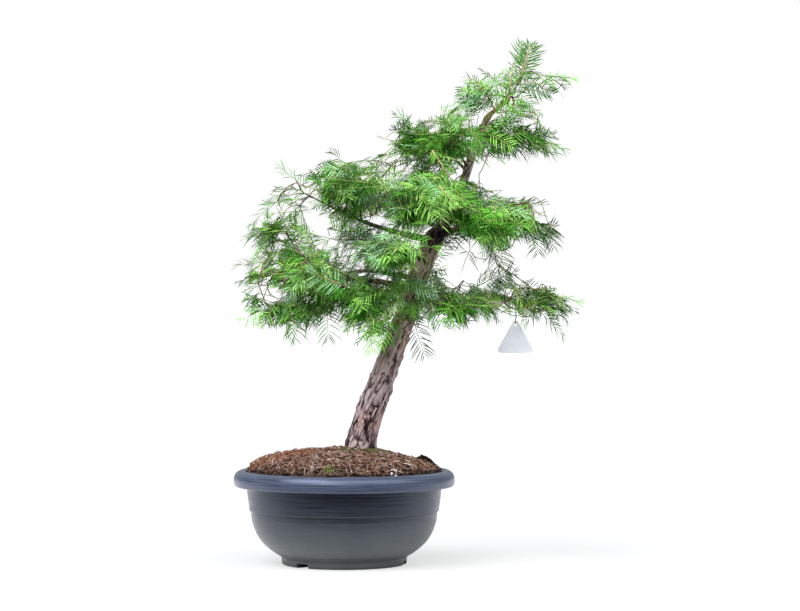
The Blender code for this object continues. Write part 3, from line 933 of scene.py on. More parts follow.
@dataclass
class Soil:
    """Mound of bark mulch, with fibres, chips, moss and white grains."""

    radii: tuple = (0, 30, 45, 60, 75, 90, 100, 110, 118, 125, 130)
    left_heights: tuple = (157.5, 154.6, 153.6, 152.4, 150.6, 148.2, 146.2, 143.4, 139.6, 135.2, 130)
    right_heights: tuple = (157.5, 157, 154.4, 150.4, 146.4, 142.2, 140.2, 137.4, 134.6, 131.6, 129.4)
    """Heights of the mound at those radii, towards -X and +X."""
    edge_radius: float = 129.0
    wall_radius: float = 132.3
    hidden_radius: float = 0.4
    underside: float = 112.0
    ring_count: int = 96
    sides: int = 220
    fibres: tuple = (
        Bits("soil_fibres_tan", TornBark("fibre_tan", "#A28878"), 2100, (6, 24)),
        Bits("soil_fibres_brown", TornBark("fibre_brown", "#7A5646"), 2100, (6, 24)),
        Bits("soil_fibres_dark", TornBark("fibre_dark", "#231712"), 1050, (6, 24)),
        Bits("soil_fibres_rust", TornBark("fibre_rust", "#965F46"), 560, (4, 14), 46, (-84, -20)),
        Bits("soil_fibres_pale", TornBark("fibre_pale", "#D2C2B6", 0.8), 210, (10, 34)),
    )
    brown_chip: Finish = TornBark("chip_brown", "#604538", 0.9)
    dark_chip: Finish = TornBark("chip_dark", "#1E1411", 0.8)
    grain: Finish = ExpandedPerlite("perlite", "#D2CCCE")
    chips: tuple = (
        Bits("soil_chips_brown", brown_chip, 1000, (1.6, 6.5), 130),
        Bits("soil_chips_dark", dark_chip, 500, (1.6, 6.5), 130),
        # dark chips in a ring at the rim: painted shade where the mulch meets the lip
        Bits("soil_edge_shade_chips", dark_chip, 260, (2, 5), 130, inner=129.6),
        Bits("soil_lumps_right", dark_chip, 8, (8, 13), 9, (110, 10), flat=1),
        Bits("soil_lumps_left", dark_chip, 4, (4, 7), 8, (-75, 10), flat=0.8),
        Bits("perlite_grains", grain, 26, (1.2, 3), 118, flat=0.8),
        Bits("perlite_near", grain, 7, (3, 6), 8, (68, -108), flat=0.8),
    )
    moss_tufts: tuple = (
        (8, -24, 10), (38, -24, 10), (-18, -120, 6), (20, 26, 9), (60, 60, 8),
    )
    """Place and radius of each tuft."""
    moss_leaves: int = 420
    noise: Noise = field(default_factory=lambda: Noise(SEED + 2))
    draws: Draws = field(default_factory=lambda: np.random.default_rng(SEED + 3))

    def height(self, x: Array, y: Array) -> Array:
        """Works out the mound's height.

        Args:
            x: places across.
            y: places in depth.

        Returns:
            The heights.
        """
        radius = np.hypot(x, y)
        left = np.interp(radius, self.radii, self.left_heights)
        right = np.interp(radius, self.radii, self.right_heights)
        mound = left + (right - left) * (0.5 + 0.5 * x / np.maximum(radius, 1))
        places = np.stack([x, y, 0 * x], -1)
        rough = 1.6 * self.noise.at(places / 21)
        rough += 1.3 * self.noise.at(places / 8 + 5)
        rough += self.noise.at(places / 3.4 + 9, 2)
        fall = np.maximum(radius - self.edge_radius, 0)
        return mound + rough - 1.2 * fall**2

    def mound(self) -> None:
        """Builds the mound, closed below."""
        share = np.linspace(0, 1, self.ring_count) ** 0.85
        turn = around(self.sides)
        radius = (self.hidden_radius + (self.wall_radius - self.hidden_radius) * share)[::-1, None]
        x, y = radius * np.cos(turn), radius * np.sin(turn)
        points = np.stack([x, y, self.height(x, y)], -1)
        skirt = points[:1] * np.array([0.985, 0.985, 1.0])
        skirt[..., 2] = self.underside
        points = np.concatenate([skirt, points])
        shape = Shape(points, tube_faces(len(points), self.sides))
        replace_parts(shape.piece("soil_mound", BarkMulch(), "soil_mulch"), "soil")

    def scatter(self, count: int, reach: float, inner: float = 0.0) -> Array:
        """Deals out places over a disc, or a ring with a hole's radius, as their x and y."""
        radius = np.sqrt(inner**2 + (reach**2 - inner**2) * self.draws.random(count))
        return radius * on_circle(self.draws.random(count) * TURN).T

    def strands(self, bits: Bits) -> None:
        """Lays curved fibres over the mound.

        Args:
            bits: their kind and their patch.
        """
        draws, count, steps = self.draws, bits.count, 7
        x, y = self.scatter(count, bits.reach)
        x, y = x + bits.middle[0], y + bits.middle[1]
        length = bits.lengths[0] + (bits.lengths[1] - bits.lengths[0]) * draws.random(count) ** 2
        heading = draws.random(count) * TURN
        curl = draws.normal(0, 1.7, count)
        share = np.linspace(-0.5, 0.5, steps)
        turned = heading[:, None] + curl[:, None] * share + draws.normal(0, 0.3, (count, steps))
        step = length[:, None] / (steps - 1)
        line_x, line_y = np.cumsum(np.cos(turned) * step, 1), np.cumsum(np.sin(turned) * step, 1)
        centre = slice(steps // 2, steps // 2 + 1)
        line_x = x[:, None] + line_x - line_x[:, centre]
        line_y = y[:, None] + line_y - line_y[:, centre]
        kept = np.hypot(line_x, line_y).max(1) <= 131.5
        arch = draws.random(count)[:, None] * 2 * np.cos(math.pi * share) + 0.3
        tilt = draws.normal(0, 1.6, count)[:, None] * share * 2
        line_z = self.height(line_x, line_y) + arch + tilt
        lines = np.stack([line_x, line_y, line_z], -1)[kept]
        thick = (0.3 + 0.45 * draws.random(count) ** 2)[kept]
        radii = thick[:, None] * (1 - 1.4 * np.abs(share) ** 2)
        Shape(*tubes(lines, radii, 3)).piece(bits.name, bits.finish, "soil_mulch")

    def crumbs(self, bits: Bits) -> None:
        """Strews broken chips over the mound.

        Args:
            bits: their kind and their patch.
        """
        draws = self.draws
        x, y = self.scatter(bits.count, bits.reach, bits.inner)
        x, y = x + bits.middle[0], y + bits.middle[1]
        kept = np.hypot(x, y) < 131
        x, y = x[kept], y[kept]
        count = len(x)
        square = ((-1, -1), (1, -1), (1, 1), (-1, 1))
        corners = np.array([(*corner, side) for side in (-1.0, 1.0) for corner in square])
        length = bits.lengths[0] + (bits.lengths[1] - bits.lengths[0]) * draws.random(count) ** 2.2
        width = length * (0.18 + 0.25 * draws.random(count))
        thick = np.maximum(length * bits.flat / 2, 0.35)
        half = np.stack([length / 2, width, thick], -1)
        local = corners * (1 + draws.uniform(-0.42, 0.25, (count, 8, 3))) * half[:, None]
        turn = draws.random(count) * TURN
        out = unit(np.column_stack([on_circle(turn), draws.normal(0, 0.32, count)]))
        side = unit(np.cross(UP + draws.normal(0, 0.3, (count, 3)), out))
        spread = sum(local[..., axis:axis + 1] * heading[:, None]
                     for axis, heading in enumerate((out, side, np.cross(out, side))))
        centre = np.stack([x, y, self.height(x, y) + 0.5 * thick], -1)
        faces = (
            (0, 2, 1), (0, 3, 2), (4, 5, 6), (4, 6, 7), (0, 1, 5), (0, 5, 4),
            (1, 2, 6), (1, 6, 5), (2, 3, 7), (2, 7, 6), (3, 0, 4), (3, 4, 7),
        )
        shape = Shape(centre[:, None] + spread, copied(faces, 8, count))
        shape.piece(bits.name, bits.finish, "soil_mulch").data.shade_flat()

    def moss(self) -> None:
        """Sets small tufts of moss."""
        shape, draws, count = Shape(), self.draws, self.moss_leaves
        for x, y, reach in self.moss_tufts:
            dx, dy = self.scatter(count, reach)
            base = np.stack([x + dx, y + dy, self.height(x + dx, y + dy) - 0.2], -1)
            fan = np.stack([dx / reach * 0.8, dy / reach * 0.8, np.full(count, 1)], -1)
            out = unit(fan + draws.normal(0, 0.45, (count, 3)))
            length = draws.uniform(2, 5.4, count)[:, None]
            wide = unit(np.cross(out, draws.normal(size=(count, 3)))) * 0.34
            middle = base + out * length * 0.45
            points = np.stack([base, middle - wide, middle + wide, base + out * length], 1)
            shape.add(points, copied(((0, 2, 1), (1, 2, 3)), 4, count))
        shape.piece("moss_tufts", LivingTissue("moss", "#6B7C3A", 0.7), "soil_mulch")

    def build(self) -> None:
        """Builds the mound and what lies on it."""
        self.mound()
        for bits in self.fibres:
            self.strands(bits)
        for bits in self.chips:
            self.crumbs(bits)
        self.moss()


@dataclass
class BarkRelief:
    """Bark's relief: long plates with narrow cracks between them, and finer ones on top."""

    plate: tuple = (4.6, 4.6, 34)
    """Widths and length of a plate, in mm."""
    finer: tuple = (2.5, 2.5, 13)
    lump: tuple = (12, 12, 30)
    chip: tuple = (2.6, 2.6, 4)
    wander: tuple = (26, 26, 30)
    """The same for finer plates, lumps, chips, and how the plates' cracks wander."""
    depth: float = 2.1
    """Depth of the deepest cracks on the trunk, in mm."""
    full_radius: float = 17.0
    """Radius in mm of a limb whose cracks are that deep."""
    noise: Noise = field(default_factory=lambda: Noise(SEED + 4))

    def heights(self, ring: Array, radius: Array, run: Array) -> tuple[Array, Array]:
        """Works out the relief round a limb.

        Args:
            ring: cosine and sine of each point's turn, by ring and by side.
            radius: the limb's radius at each ring.
            run: how far along the limb each ring lies.

        Returns:
            How far each point stands out, and the same from 0 in a crack to 1 on a plate.
        """
        flat = np.empty(ring.shape[:2] + (3,))
        flat[..., :2] = ring * radius[:, None, None]
        flat[..., 2] = run[:, None]
        plates = flat / np.array(self.plate)
        plates[..., :2] += self.noise.at(flat / np.array(self.wander), 2)[..., None] * 1.5
        crack = bend(np.abs(self.noise.at(plates)), 0, 0.24)
        finer = bend(np.abs(self.noise.at(flat / np.array(self.finer) + 31)), 0, 0.3)
        swell = self.noise.at(flat / np.array(self.lump) + 57)
        chips = self.noise.at(flat / np.array(self.chip) + 83)
        stored = np.clip(0.62 * crack + 0.26 * finer + 0.24 * swell + 0.2 * chips, 0, 1)
        total = 0.6 * crack + 0.2 * finer + 0.5 * swell + 0.22 * chips - 0.55
        scale = self.depth * np.clip(radius / self.full_radius, 0.14, 1.1)
        return total * scale[:, None], stored


@dataclass
class Limbs:
    """The trunk and its boughs, measured from the frame and covered in bark."""

    sink: float = 9.0
    """How far the foot reaches into the mulch, and a bough's root into the trunk."""
    ring_step: float = 1.05
    trunk_sides: int = 140
    bough_sides: int = 26
    bough_start: float = 0.86
    bough_end: float = 0.42
    """A bough's radius at its two ends, as a share of its solid's."""
    root_swell: float = 1.08
    foot_slim: float = 2.4
    """How far the foot's centre line shifts to the left, and its radius shrinks."""
    flare: float = 0.07
    """How far the foot's buttresses swing from round."""
    foot_spread: float = 1.2
    damp: float = 0.5
    """How much darker the bark gets in patches near its foot."""
    sound: float = 0.12
    """How much fewer of its cracks are open above its foot."""
    crotch: tuple = (449, 13, 0.75)
    # Height, half height and strength of the painted shade where the boughs fork from the trunk.
    """Height, half height and darkness of the crotch among the boughs."""
    knobs: tuple = (
        (279, 8, 4.6, 3), (259, -12, 4, 2.4), (234, 12, 5.6, 3.2),
        (223, -20, 4.2, 2.2), (300, 200, 6, 2.2), (345, -95, 7, 2.6),
        (214, 170, 6, 1.8), (189, -60, 8, 1.6), (356, -60, 5, 4.2),
        (366, -115, 5, 3.4), (446, -75, 7, 4.5), (452, -20, 6, 4),
        (441, -130, 6, 3.2), (604, -80, 4, 2.2), (627, -60, 4.5, 3),
        (640, -120, 4, 2.6), (655, -60, 3.5, 2.4),
    )
    """Each knob's height, turn from +X towards +Y, spread and rise."""
    strips: int = 150
    strip_top: int = 276
    """How many strips of bark peel off, and the ring above which none does."""
    relief: BarkRelief = field(default_factory=BarkRelief)
    trunk: Array = field(init=False)
    """Rows of x, y, z and radius, from foot to tip."""
    boughs: dict = field(init=False)
    """The same for each bough, by its node's name."""

    def __post_init__(self) -> None:
        """Measures the trunk and the boughs."""
        self.trunk = self.measured_trunk()
        self.boughs = {name: self.measured_bough(name) for name in nodes_named("bough_")}

    def measured_trunk(self) -> Array:
        """Reads the trunk's centre line and radius from its solid.

        Returns:
            Its rows.
        """
        low, high = box_of("trunk")
        cuts = np.linspace(low[2] + 0.4, high[2] - 0.4, 110)
        rows = sections("trunk", UP, cuts)
        fine = np.arange(cuts[0], cuts[-1], self.ring_step)
        line = np.stack([np.interp(fine, cuts, column) for column in rows.T], -1)
        reach = 11
        padded = np.concatenate([np.repeat(line[:1], reach, 0), line, np.repeat(line[-1:], reach, 0)])
        window = np.hanning(2 * reach + 3)[1:-1]
        window /= window.sum()
        line = np.stack([np.convolve(column, window, "valid") for column in padded.T], -1)
        line[:, 2] = fine
        line[:, 3] *= 1 - 0.28 * bend(fine, 575, 600) - 0.32 * bend(fine, 628, 644)
        slim = self.foot_slim * (1 - bend(fine, 186, 226))
        line[:, [0, 3]] -= slim[:, None]
        foot = np.repeat(line[:1], int(self.sink / self.ring_step), 0)
        foot[:, 2] -= np.arange(len(foot), 0, -1) * self.ring_step
        return np.concatenate([foot, line])

    def measured_bough(self, name: str) -> Array:
        """Reads a bough's centre line and radius from its solid.

        Args:
            name: the bough's node.

        Returns:
            Its rows.
        """
        points, _ = node_mesh(name)
        axis = np.linalg.svd(points - points.mean(0), full_matrices=False)[2][0]
        reach = points @ axis
        rows = sections(name, axis, np.linspace(reach.min() + 1.2, reach.max() - 1.2, 9))
        if self.gap_to_trunk(rows[0, :3]) > self.gap_to_trunk(rows[-1, :3]):
            rows = rows[::-1]
        inward = unit(rows[0, :3] - rows[2, :3])
        root = np.append(rows[0, :3] + inward * self.sink, rows[0, 3] * self.root_swell)
        return np.concatenate([root[None], rows])

    def gap_to_trunk(self, place: Array) -> float:
        """Distance from a place to the trunk's centre line."""
        return float(np.linalg.norm(self.trunk[:, :3] - place, axis=1).min())

    def centre_at(self, height: Array) -> Array:
        """The trunk's centre at each height, as x and y."""
        return np.stack([np.interp(height, self.trunk[:, 2], self.trunk[:, axis]) for axis in range(2)], -1)

    def swell(self, points: Array) -> Array:
        """Finds how far the knobs and the boughs' collars lift the bark.

        Args:
            points: the trunk's plain surface.

        Returns:
            The lift at each point.
        """
        places = []
        for height, turn, spread, rise in self.knobs:
            row = self.trunk[int(np.argmin(np.abs(self.trunk[:, 2] - height)))]
            out = np.append(on_circle(math.radians(turn)), 0)
            places.append((row[:3] + out * row[3], spread, rise))
        for rows in self.boughs.values():
            if self.gap_to_trunk(rows[1, :3]) < 30:
                places.append((rows[1, :3], rows[1, 3] * 1.7, rows[1, 3] * 0.42))
        lift = np.zeros(points.shape[:2])
        for place, spread, rise in places:
            gap = np.sum((points - place) ** 2, -1)
            lift = np.maximum(lift, rise * np.exp(-gap / (2 * spread**2)))
        return lift

    def covered(self, line: Array, radius: Array, sides: int, is_trunk: bool) -> tuple:
        """Lays bark round a line.

        Args:
            line: the limb's centre points.
            radius: its radius at each.
            sides: how many points go round.
            is_trunk: whether it has buttresses and knobs.

        Returns:
            Points, triangles and stored relief, all arrays.
        """
        _, across, other = frames_along(line)
        turn = around(sides)
        ring = np.broadcast_to(on_circle(turn), (len(line), sides, 2))
        outward = across[:, None] * ring[..., :1] + other[:, None] * ring[..., 1:]
        run = np.concatenate([[0], np.cumsum(np.linalg.norm(np.diff(line, axis=0), axis=1))])
        size = np.broadcast_to(radius[:, None], (len(line), sides)).copy()
        if is_trunk:
            low = 1 - bend(run, 6, 75)
            lobes = np.cos(3 * turn + 0.5) + 0.7 * np.cos(5 * turn + 2.1) + 0.4 * np.cos(8 * turn)
            size *= 1 + (self.flare * low + 0.03)[:, None] * lobes[None] * 0.6
            size += (self.foot_spread * (1 - bend(run, 0, 20)))[:, None]
        plain = line[:, None] + outward * size[..., None]
        lift, stored = self.relief.heights(ring, radius, run)
        if is_trunk:
            knobs = self.swell(plain)
            lift = lift + knobs
            patches = self.relief.noise.at(plain / np.array([9.0, 9.0, 22.0]) + 11.0)
            wet = self.damp * bend(patches, 0, 0.45) * (1 - bend(run, 30, 110))[:, None]
            sound = self.sound * bend(run, 60, 120)[:, None]
            stored = np.clip(stored - 0.05 * knobs - wet + sound, 0, 1)
            # painted shade: the bark darkens round the fork among the boughs
            height, half, dark = self.crotch
            stored = stored * (1 - dark * np.exp(-((line[:, 2] - height) / half) ** 2)[:, None])
        return plain + outward * lift[..., None], tube_faces(len(line), sides), stored

    def peeling(self, shape: Shape) -> None:
        """Adds long strips of bark that lift at one end.

        Args:
            shape: the trunk's shape.
        """
        draws, line, steps = np.random.default_rng(SEED + 5), self.trunk, 9
        along, across, other = frames_along(line[:, :3])
        share = np.linspace(0, 1, steps)
        for _ in range(self.strips):
            start = draws.integers(10, self.strip_top)
            length = draws.uniform(14, 46)
            stop = min(start + int(length / self.ring_step), len(line) - 2)
            index = np.linspace(start, stop, steps).astype(int)
            if draws.random() < 0.5:
                index = index[::-1]
            turn = draws.uniform(0, TURN) + draws.normal(0, 0.1) * share
            out = across[index] * np.cos(turn)[:, None] + other[index] * np.sin(turn)[:, None]
            side = np.cross(along[index], out)
            lift = 0.5 + draws.uniform(0.6, 2.3) * share**2.2
            centre = line[index, :3] + out * (line[index, 3] + lift)[:, None]
            half = draws.uniform(0.7, 1.9) * (1 - 0.55 * share**3)
            half[0] *= 0.6
            wide, thick = side * half[:, None], out * 0.32
            corners = np.stack([centre - wide - thick, centre + wide - thick,
                                centre + wide + thick, centre - wide + thick], 1)
            if np.dot(np.cross(side[0], out[0]), centre[-1] - centre[0]) < 0:
                corners = corners[:, ::-1]
            value = np.full(corners.shape[:2], draws.uniform(0.45, 1))
            shape.add(corners, tube_faces(steps, 4), value)

    def build(self) -> None:
        """Builds the trunk and the boughs, and replaces their solids."""
        shape = Shape(*self.covered(self.trunk[:, :3], self.trunk[:, 3], self.trunk_sides, True))
        self.peeling(shape)
        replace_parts(shape.piece("trunk_bark", CypressBark(), "bark"), "trunk")
        shape, shaken = Shape(), Noise(SEED + 6)
        for rows in self.boughs.values():
            fine = smooth_line(rows, 2.2)
            taper = np.linspace(self.bough_start, self.bough_end, len(fine))
            radius = fine[:, 3] * taper * (1 + 0.14 * shaken.at(fine[:, :3] / 13))
            shape.add(*self.covered(fine[:, :3], radius, self.bough_sides, False))
        bark = CypressBark("bough_bark", shade="#433430", body="#6B5650", strip="#B39E98",
                           warm_body="#5F4435", warm_strip="#93745F", lean=75, streak_length=12,
                           zones=((0, 0, 0, 0), (720, 0, 0, 0)))
        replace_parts(shape.piece("boughs_bark", bark, "bark"), *self.boughs)


TUFTS = (
    (240, 0, 690, 24, 18, 26), (270, 0, 652, 40, 18, 18), (222, -6, 648, 26, 24, 26),
    (192, 0, 640, 34, 22, 22), (236, 0, 606, 42, 26, 24), (206, -22, 584, 26, 30, 30),
    (182, -30, 574, 26, 32, 24), (212, -24, 640, 24, 26, 14), (150, -4, 590, 28, 24, 20),
    (176, -30, 510, 24, 30, 20), (154, -38, 486, 32, 28, 26), (124, -24, 394, 20, 32, 44),
    (50, 0, 541, 38, 26, 18), (66, 0, 599, 14, 14, 9), (-2, 0, 450, 38, 24, 18),
    (-46, 0, 432, 20, 20, 14), (-108, 0, 436, 28, 20, 14), (-104, 0, 494, 20, 16, 14),
    (134, -8, 346, 32, 24, 16), (166, -6, 448, 30, 28, 14), (270, 0, 446, 28, 20, 16),
    (228, 0, 344, 24, 18, 16), (36, -10, 436, 30, 24, 18), (104, -40, 374, 38, 24, 18),
    (54, -4, 316, 34, 24, 24), (86, -12, 330, 22, 20, 18), (206, 0, 380, 34, 20, 16),
    (110, -6, 336, 26, 20, 10), (222, -16, 618, 20, 18, 16), (196, -16, 624, 18, 16, 14),
    (146, 16, 434, 26, 18, 12), (262, 0, 646, 30, 14, 12), (12, -6, 461, 32, 26, 14),
    (182, 0, 427, 20, 16, 10), (-86, 0, 496, 14, 14, 12),
)
"""Foliage beside the masses: ellipsoids by middle and half sizes, in mm."""


@dataclass
class CrownSpace:
    """Where the crown fills space, on a grid: the masses, closed up where they near."""

    cell: float = 4.0
    margin: float = 44.0
    reach: int = 5
    """How many cells the masses grow to meet, before they draw back again."""
    depth_layers: int = 12
    most_crossings: int = 12
    names: list = field(init=False)
    low: Array = field(init=False)
    filled: Array = field(init=False)
    depth: Array = field(init=False)
    slope: Array = field(init=False)
    """Which way it gets deeper."""
    thickness: Array = field(init=False)
    """The greatest depth on the line from front to back."""

    def __post_init__(self) -> None:
        """Fills the grid from the masses' solids and the tufts."""
        self.names = nodes_named("foliage_")
        corners = np.array([box_of(name) for name in self.names])
        self.low = corners.min((0, 1)) - self.margin
        size = corners.max((0, 1)) + self.margin - self.low
        self.filled = np.zeros(np.ceil(size / self.cell).astype(int), bool)
        for name, (low, high) in zip(self.names, corners):
            self.fill(name, low, high)
        cells = self.low + (np.stack(np.indices(self.filled.shape), -1) + 0.5) * self.cell
        for tuft in TUFTS:
            self.filled |= (((cells - tuft[:3]) / np.array(tuft[3:])) ** 2).sum(-1) < 1
        self.filled = self.stepped(self.stepped(self.filled, self.reach, True), self.reach, False)
        layers = [self.stepped(self.filled, step, False) for step in range(self.depth_layers)]
        self.depth = sum(layer.astype(np.int16) for layer in layers)
        self.slope = np.stack(np.gradient(self.depth.astype(np.float32)), -1)
        self.thickness = np.broadcast_to(self.depth.max(1, keepdims=True), self.depth.shape)

    def stepped(self, grid: Array, count: int, outwards: bool) -> Array:
        """Grows or shrinks what a grid holds, cell by cell.

        Args:
            grid: the grid.
            count: by how many cells.
            outwards: whether it grows.

        Returns:
            The new grid.
        """
        merge = np.logical_or if outwards else np.logical_and
        for _ in range(count):
            grid = merge.reduce([grid, *(np.roll(grid, step, axis) for axis in range(3) for step in (-1, 1))])
        return grid

    def fill(self, name: str, low: Array, high: Array) -> None:
        """Marks one mass's cells, column by column.

        Args:
            name: the mass's node.
            low: its box's lowest corner.
            high: its box's highest corner.
        """
        points, faces = node_mesh(name)
        tree = BVHTree.FromPolygons(points.tolist(), faces.tolist())
        first = np.floor((low - self.low) / self.cell).astype(int)
        last = np.ceil((high - self.low) / self.cell).astype(int)
        for column in np.ndindex(last[0] - first[0], last[1] - first[1]):
            place = first[:2] + column
            x, y = self.low[:2] + (place + 0.503) * self.cell
            start, crossings = low[2] - 1, []
            while len(crossings) < self.most_crossings:
                hit = tree.ray_cast(Vector((x, y, start)), Vector(UP))[0]
                if hit is None:
                    break
                crossings.append(hit.z)
                start = hit.z + 0.02
            for enter, leave in zip(crossings[0::2], crossings[1::2]):
                span = (np.array([enter, leave]) - self.low[2]) / self.cell - 0.5
                self.filled[place[0], place[1], math.ceil(span[0]):math.floor(span[1]) + 1] = True

    def read(self, grid: Array, places: Array) -> Array:
        """Reads a grid at places.

        Args:
            grid: the grid.
            places: the places.

        Returns:
            What it holds there, or 0 outside it.
        """
        index = np.floor((places - self.low) / self.cell).astype(int)
        size = np.array(self.filled.shape)
        known = np.all((index >= 0) & (index < size), axis=-1)
        x, y, z = np.moveaxis(np.clip(index, 0, size - 1), -1, 0)
        return np.where(known.reshape(known.shape + (1,) * (grid.ndim - 3)), grid[x, y, z], 0)

    def holds(self, places: Array) -> Array:
        """Tells which places lie in the crown."""
        return self.read(self.filled, places) > 0

    def spread(self, spacing: float, draws: Draws) -> Array:
        """Deals out places through the crown.

        Args:
            spacing: the least distance between two.
            draws: random numbers.

        Returns:
            The places.
        """
        cells = np.argwhere(self.depth >= 2)
        draws.shuffle(cells)
        kept, count = np.zeros((4000, 3)), 0
        for cell in cells[:32000]:
            place = self.low + (cell + draws.random(3)) * self.cell
            if count and ((kept[:count] - place) ** 2).sum(1).min() < spacing**2:
                continue
            kept[count] = place
            count += 1
        return kept[:count]

    def way_out(self, base: Array, heading: Array, longest: float) -> Array:
        """Measures how far a line stays in the crown.

        Args:
            base: where each line starts.
            heading: its direction.
            longest: how far is looked.

        Returns:
            The distance to the last place inside.
        """
        last = np.zeros(len(base))
        for step in np.arange(self.cell, longest + self.cell, self.cell):
            last = np.where(self.holds(base + heading * step), step, last)
        return last


class Skeleton:
    """Branching line of the whole tree: places, headings, parents and radii."""

    def __init__(self, limbs: Limbs, capacity: int = 60000) -> None:
        """Starts from the limbs.

        Args:
            limbs: the trunk and the boughs.
            capacity: for how many places there is room.
        """
        self.place = np.zeros((capacity, 3))
        self.heading = np.zeros((capacity, 3))
        self.parent = np.full(capacity, -1)
        self.given = np.zeros(capacity)
        self.weight = np.ones(capacity)
        self.count = 1
        trunk = limbs.trunk[::6]
        self.place[0] = trunk[0, :3]
        self.heading[0] = UP
        self.given[0] = trunk[0, 3]
        self.add_line(trunk[1:, :3], 0, trunk[1:, 3], 1.5)
        for rows in limbs.boughs.values():
            fine = smooth_line(rows, 7)
            nearest = int(np.argmin(((self.place[:self.count] - fine[0, :3]) ** 2).sum(1)))
            taper = np.linspace(limbs.bough_start, limbs.bough_end, len(fine))
            self.add_line(fine[:, :3], nearest, fine[:, 3] * taper)

    def add_line(self, line: Array, parent: int, radii: Array | None = None, weight: float = 1.0) -> None:
        """Adds a run of places.

        Args:
            line: the places, away from the parent.
            parent: number of the place that it starts from.
            radii: their radii where they are known.
            weight: how far away it seems to a twig that looks for a start.
        """
        for step, place in enumerate(line):
            self.place[self.count] = place
            self.heading[self.count] = unit(place - self.place[parent])
            self.parent[self.count] = parent
            self.weight[self.count] = weight
            if radii is not None:
                self.given[self.count] = radii[step]
            parent = self.count
            self.count += 1

    def grow_to(self, target: Array, draws: Draws, sway: float = 0.07) -> None:
        """Grows a twig to a place from the start that suits it best.

        Args:
            target: where the twig ends.
            draws: random numbers.
            sway: how far it bends, as a share of its length.
        """
        steps = target - self.place[:self.count]
        reach = np.linalg.norm(steps, axis=1)
        turned = 1 - np.sum(unit(steps) * self.heading[:self.count], axis=1)
        parent = int(np.argmin(reach * (1 + 0.4 * turned) * self.weight[:self.count]))
        length = reach[parent]
        if length < 5:
            return
        start = self.place[parent]
        lead = unit(steps[parent] / length + 0.55 * self.heading[parent])
        middle = start + lead * length * 0.5 + draws.normal(size=3) * sway * length
        count = max(1, round(length / 7.5))
        share = (np.arange(1, count + 1) / count)[:, None]
        line = (1 - share) ** 2 * start + 2 * share * (1 - share) * middle + share**2 * target
        self.add_line(line, parent)

    def radii(self, tip: float = 0.42, power: float = 2.4) -> Array:
        """Finds each place's radius from the tips that it carries.

        Args:
            tip: a tip's radius.
            power: how thin twigs add up to a thick one.

        Returns:
            The radii.
        """
        flow = np.zeros(self.count)
        for index in range(self.count - 1, 0, -1):
            flow[index] = max(flow[index], tip**power)
            flow[self.parent[index]] += flow[index]
        grown = np.maximum(flow, tip**power) ** (1 / power)
        given = self.given[:self.count]
        return np.where(given > 0, given, grown)

    def chains(self, radii: Array) -> list[list[int]]:
        """Sorts the grown places into twigs.

        Args:
            radii: each place's radius.

        Returns:
            Rows of the places' numbers, each from start to tip.
        """
        main = np.full(self.count, -1)
        for index in range(1, self.count):
            parent = self.parent[index]
            if self.given[index] == 0 and (main[parent] < 0 or radii[index] > radii[main[parent]]):
                main[parent] = index
        rows = []
        for index in range(1, self.count):
            parent = self.parent[index]
            starts = main[parent] != index or self.given[parent] > 0
            if self.given[index] == 0 and starts:
                row = [parent]
                while index >= 0:
                    row.append(index)
                    index = main[index]
                rows.append(row)
        return rows


def squared(vectors: Array, along: Array) -> Array:
    """Turns vectors square to other ones, with length 1."""
    return unit(vectors - along * np.sum(vectors * along, -1, keepdims=True))


@dataclass
class Sprays:
    """Many sprays of needles at once: starts, headings, lengths and bends."""

    base: Array
    along: Array
    up: Array
    length: Array
    droop: Array
    bow: Array
    size: Array
    """Length of its needles, as a share of the usual one."""
    twig: Array
    """Number of the twig that carries it."""
    stout: Array
    """Thickness of its stem, as a share of the usual one."""

    def picked(self, kept: Array) -> "Sprays":
        """The sprays that a mask or a list of numbers picks."""
        return Sprays(*(getattr(self, item.name)[kept] for item in fields(self)))

    def joined(self, other: "Sprays") -> "Sprays":
        """These sprays and then the others."""
        pairs = ((getattr(self, item.name), getattr(other, item.name)) for item in fields(self))
        return Sprays(*(np.concatenate(pair) for pair in pairs))

    def stem(self, owner: Array, share: Array) -> tuple[Array, Array, Array]:
        """Follows the stems.

        Args:
            owner: each wanted place's spray.
            share: how far along the stem it lies.

        Returns:
            The places, the directions there, and those to their left.
        """
        share = share[..., None]
        along, up = self.along[owner], self.up[owner]
        side = unit(np.cross(along, up))
        droop, bow = self.droop[owner][..., None], self.bow[owner][..., None]
        step = along * share + side * bow * share**2 - UP * droop * share**2 * 0.5
        place = self.base[owner] + step * self.length[owner][..., None]
        return place, unit(along + side * 2 * bow * share - UP * droop * share), side

    def at(self, share: float) -> tuple[Array, Array, Array]:
        """Follows each stem to the same share of its length."""
        return self.stem(np.arange(len(self.length)), np.full(len(self.length), share))


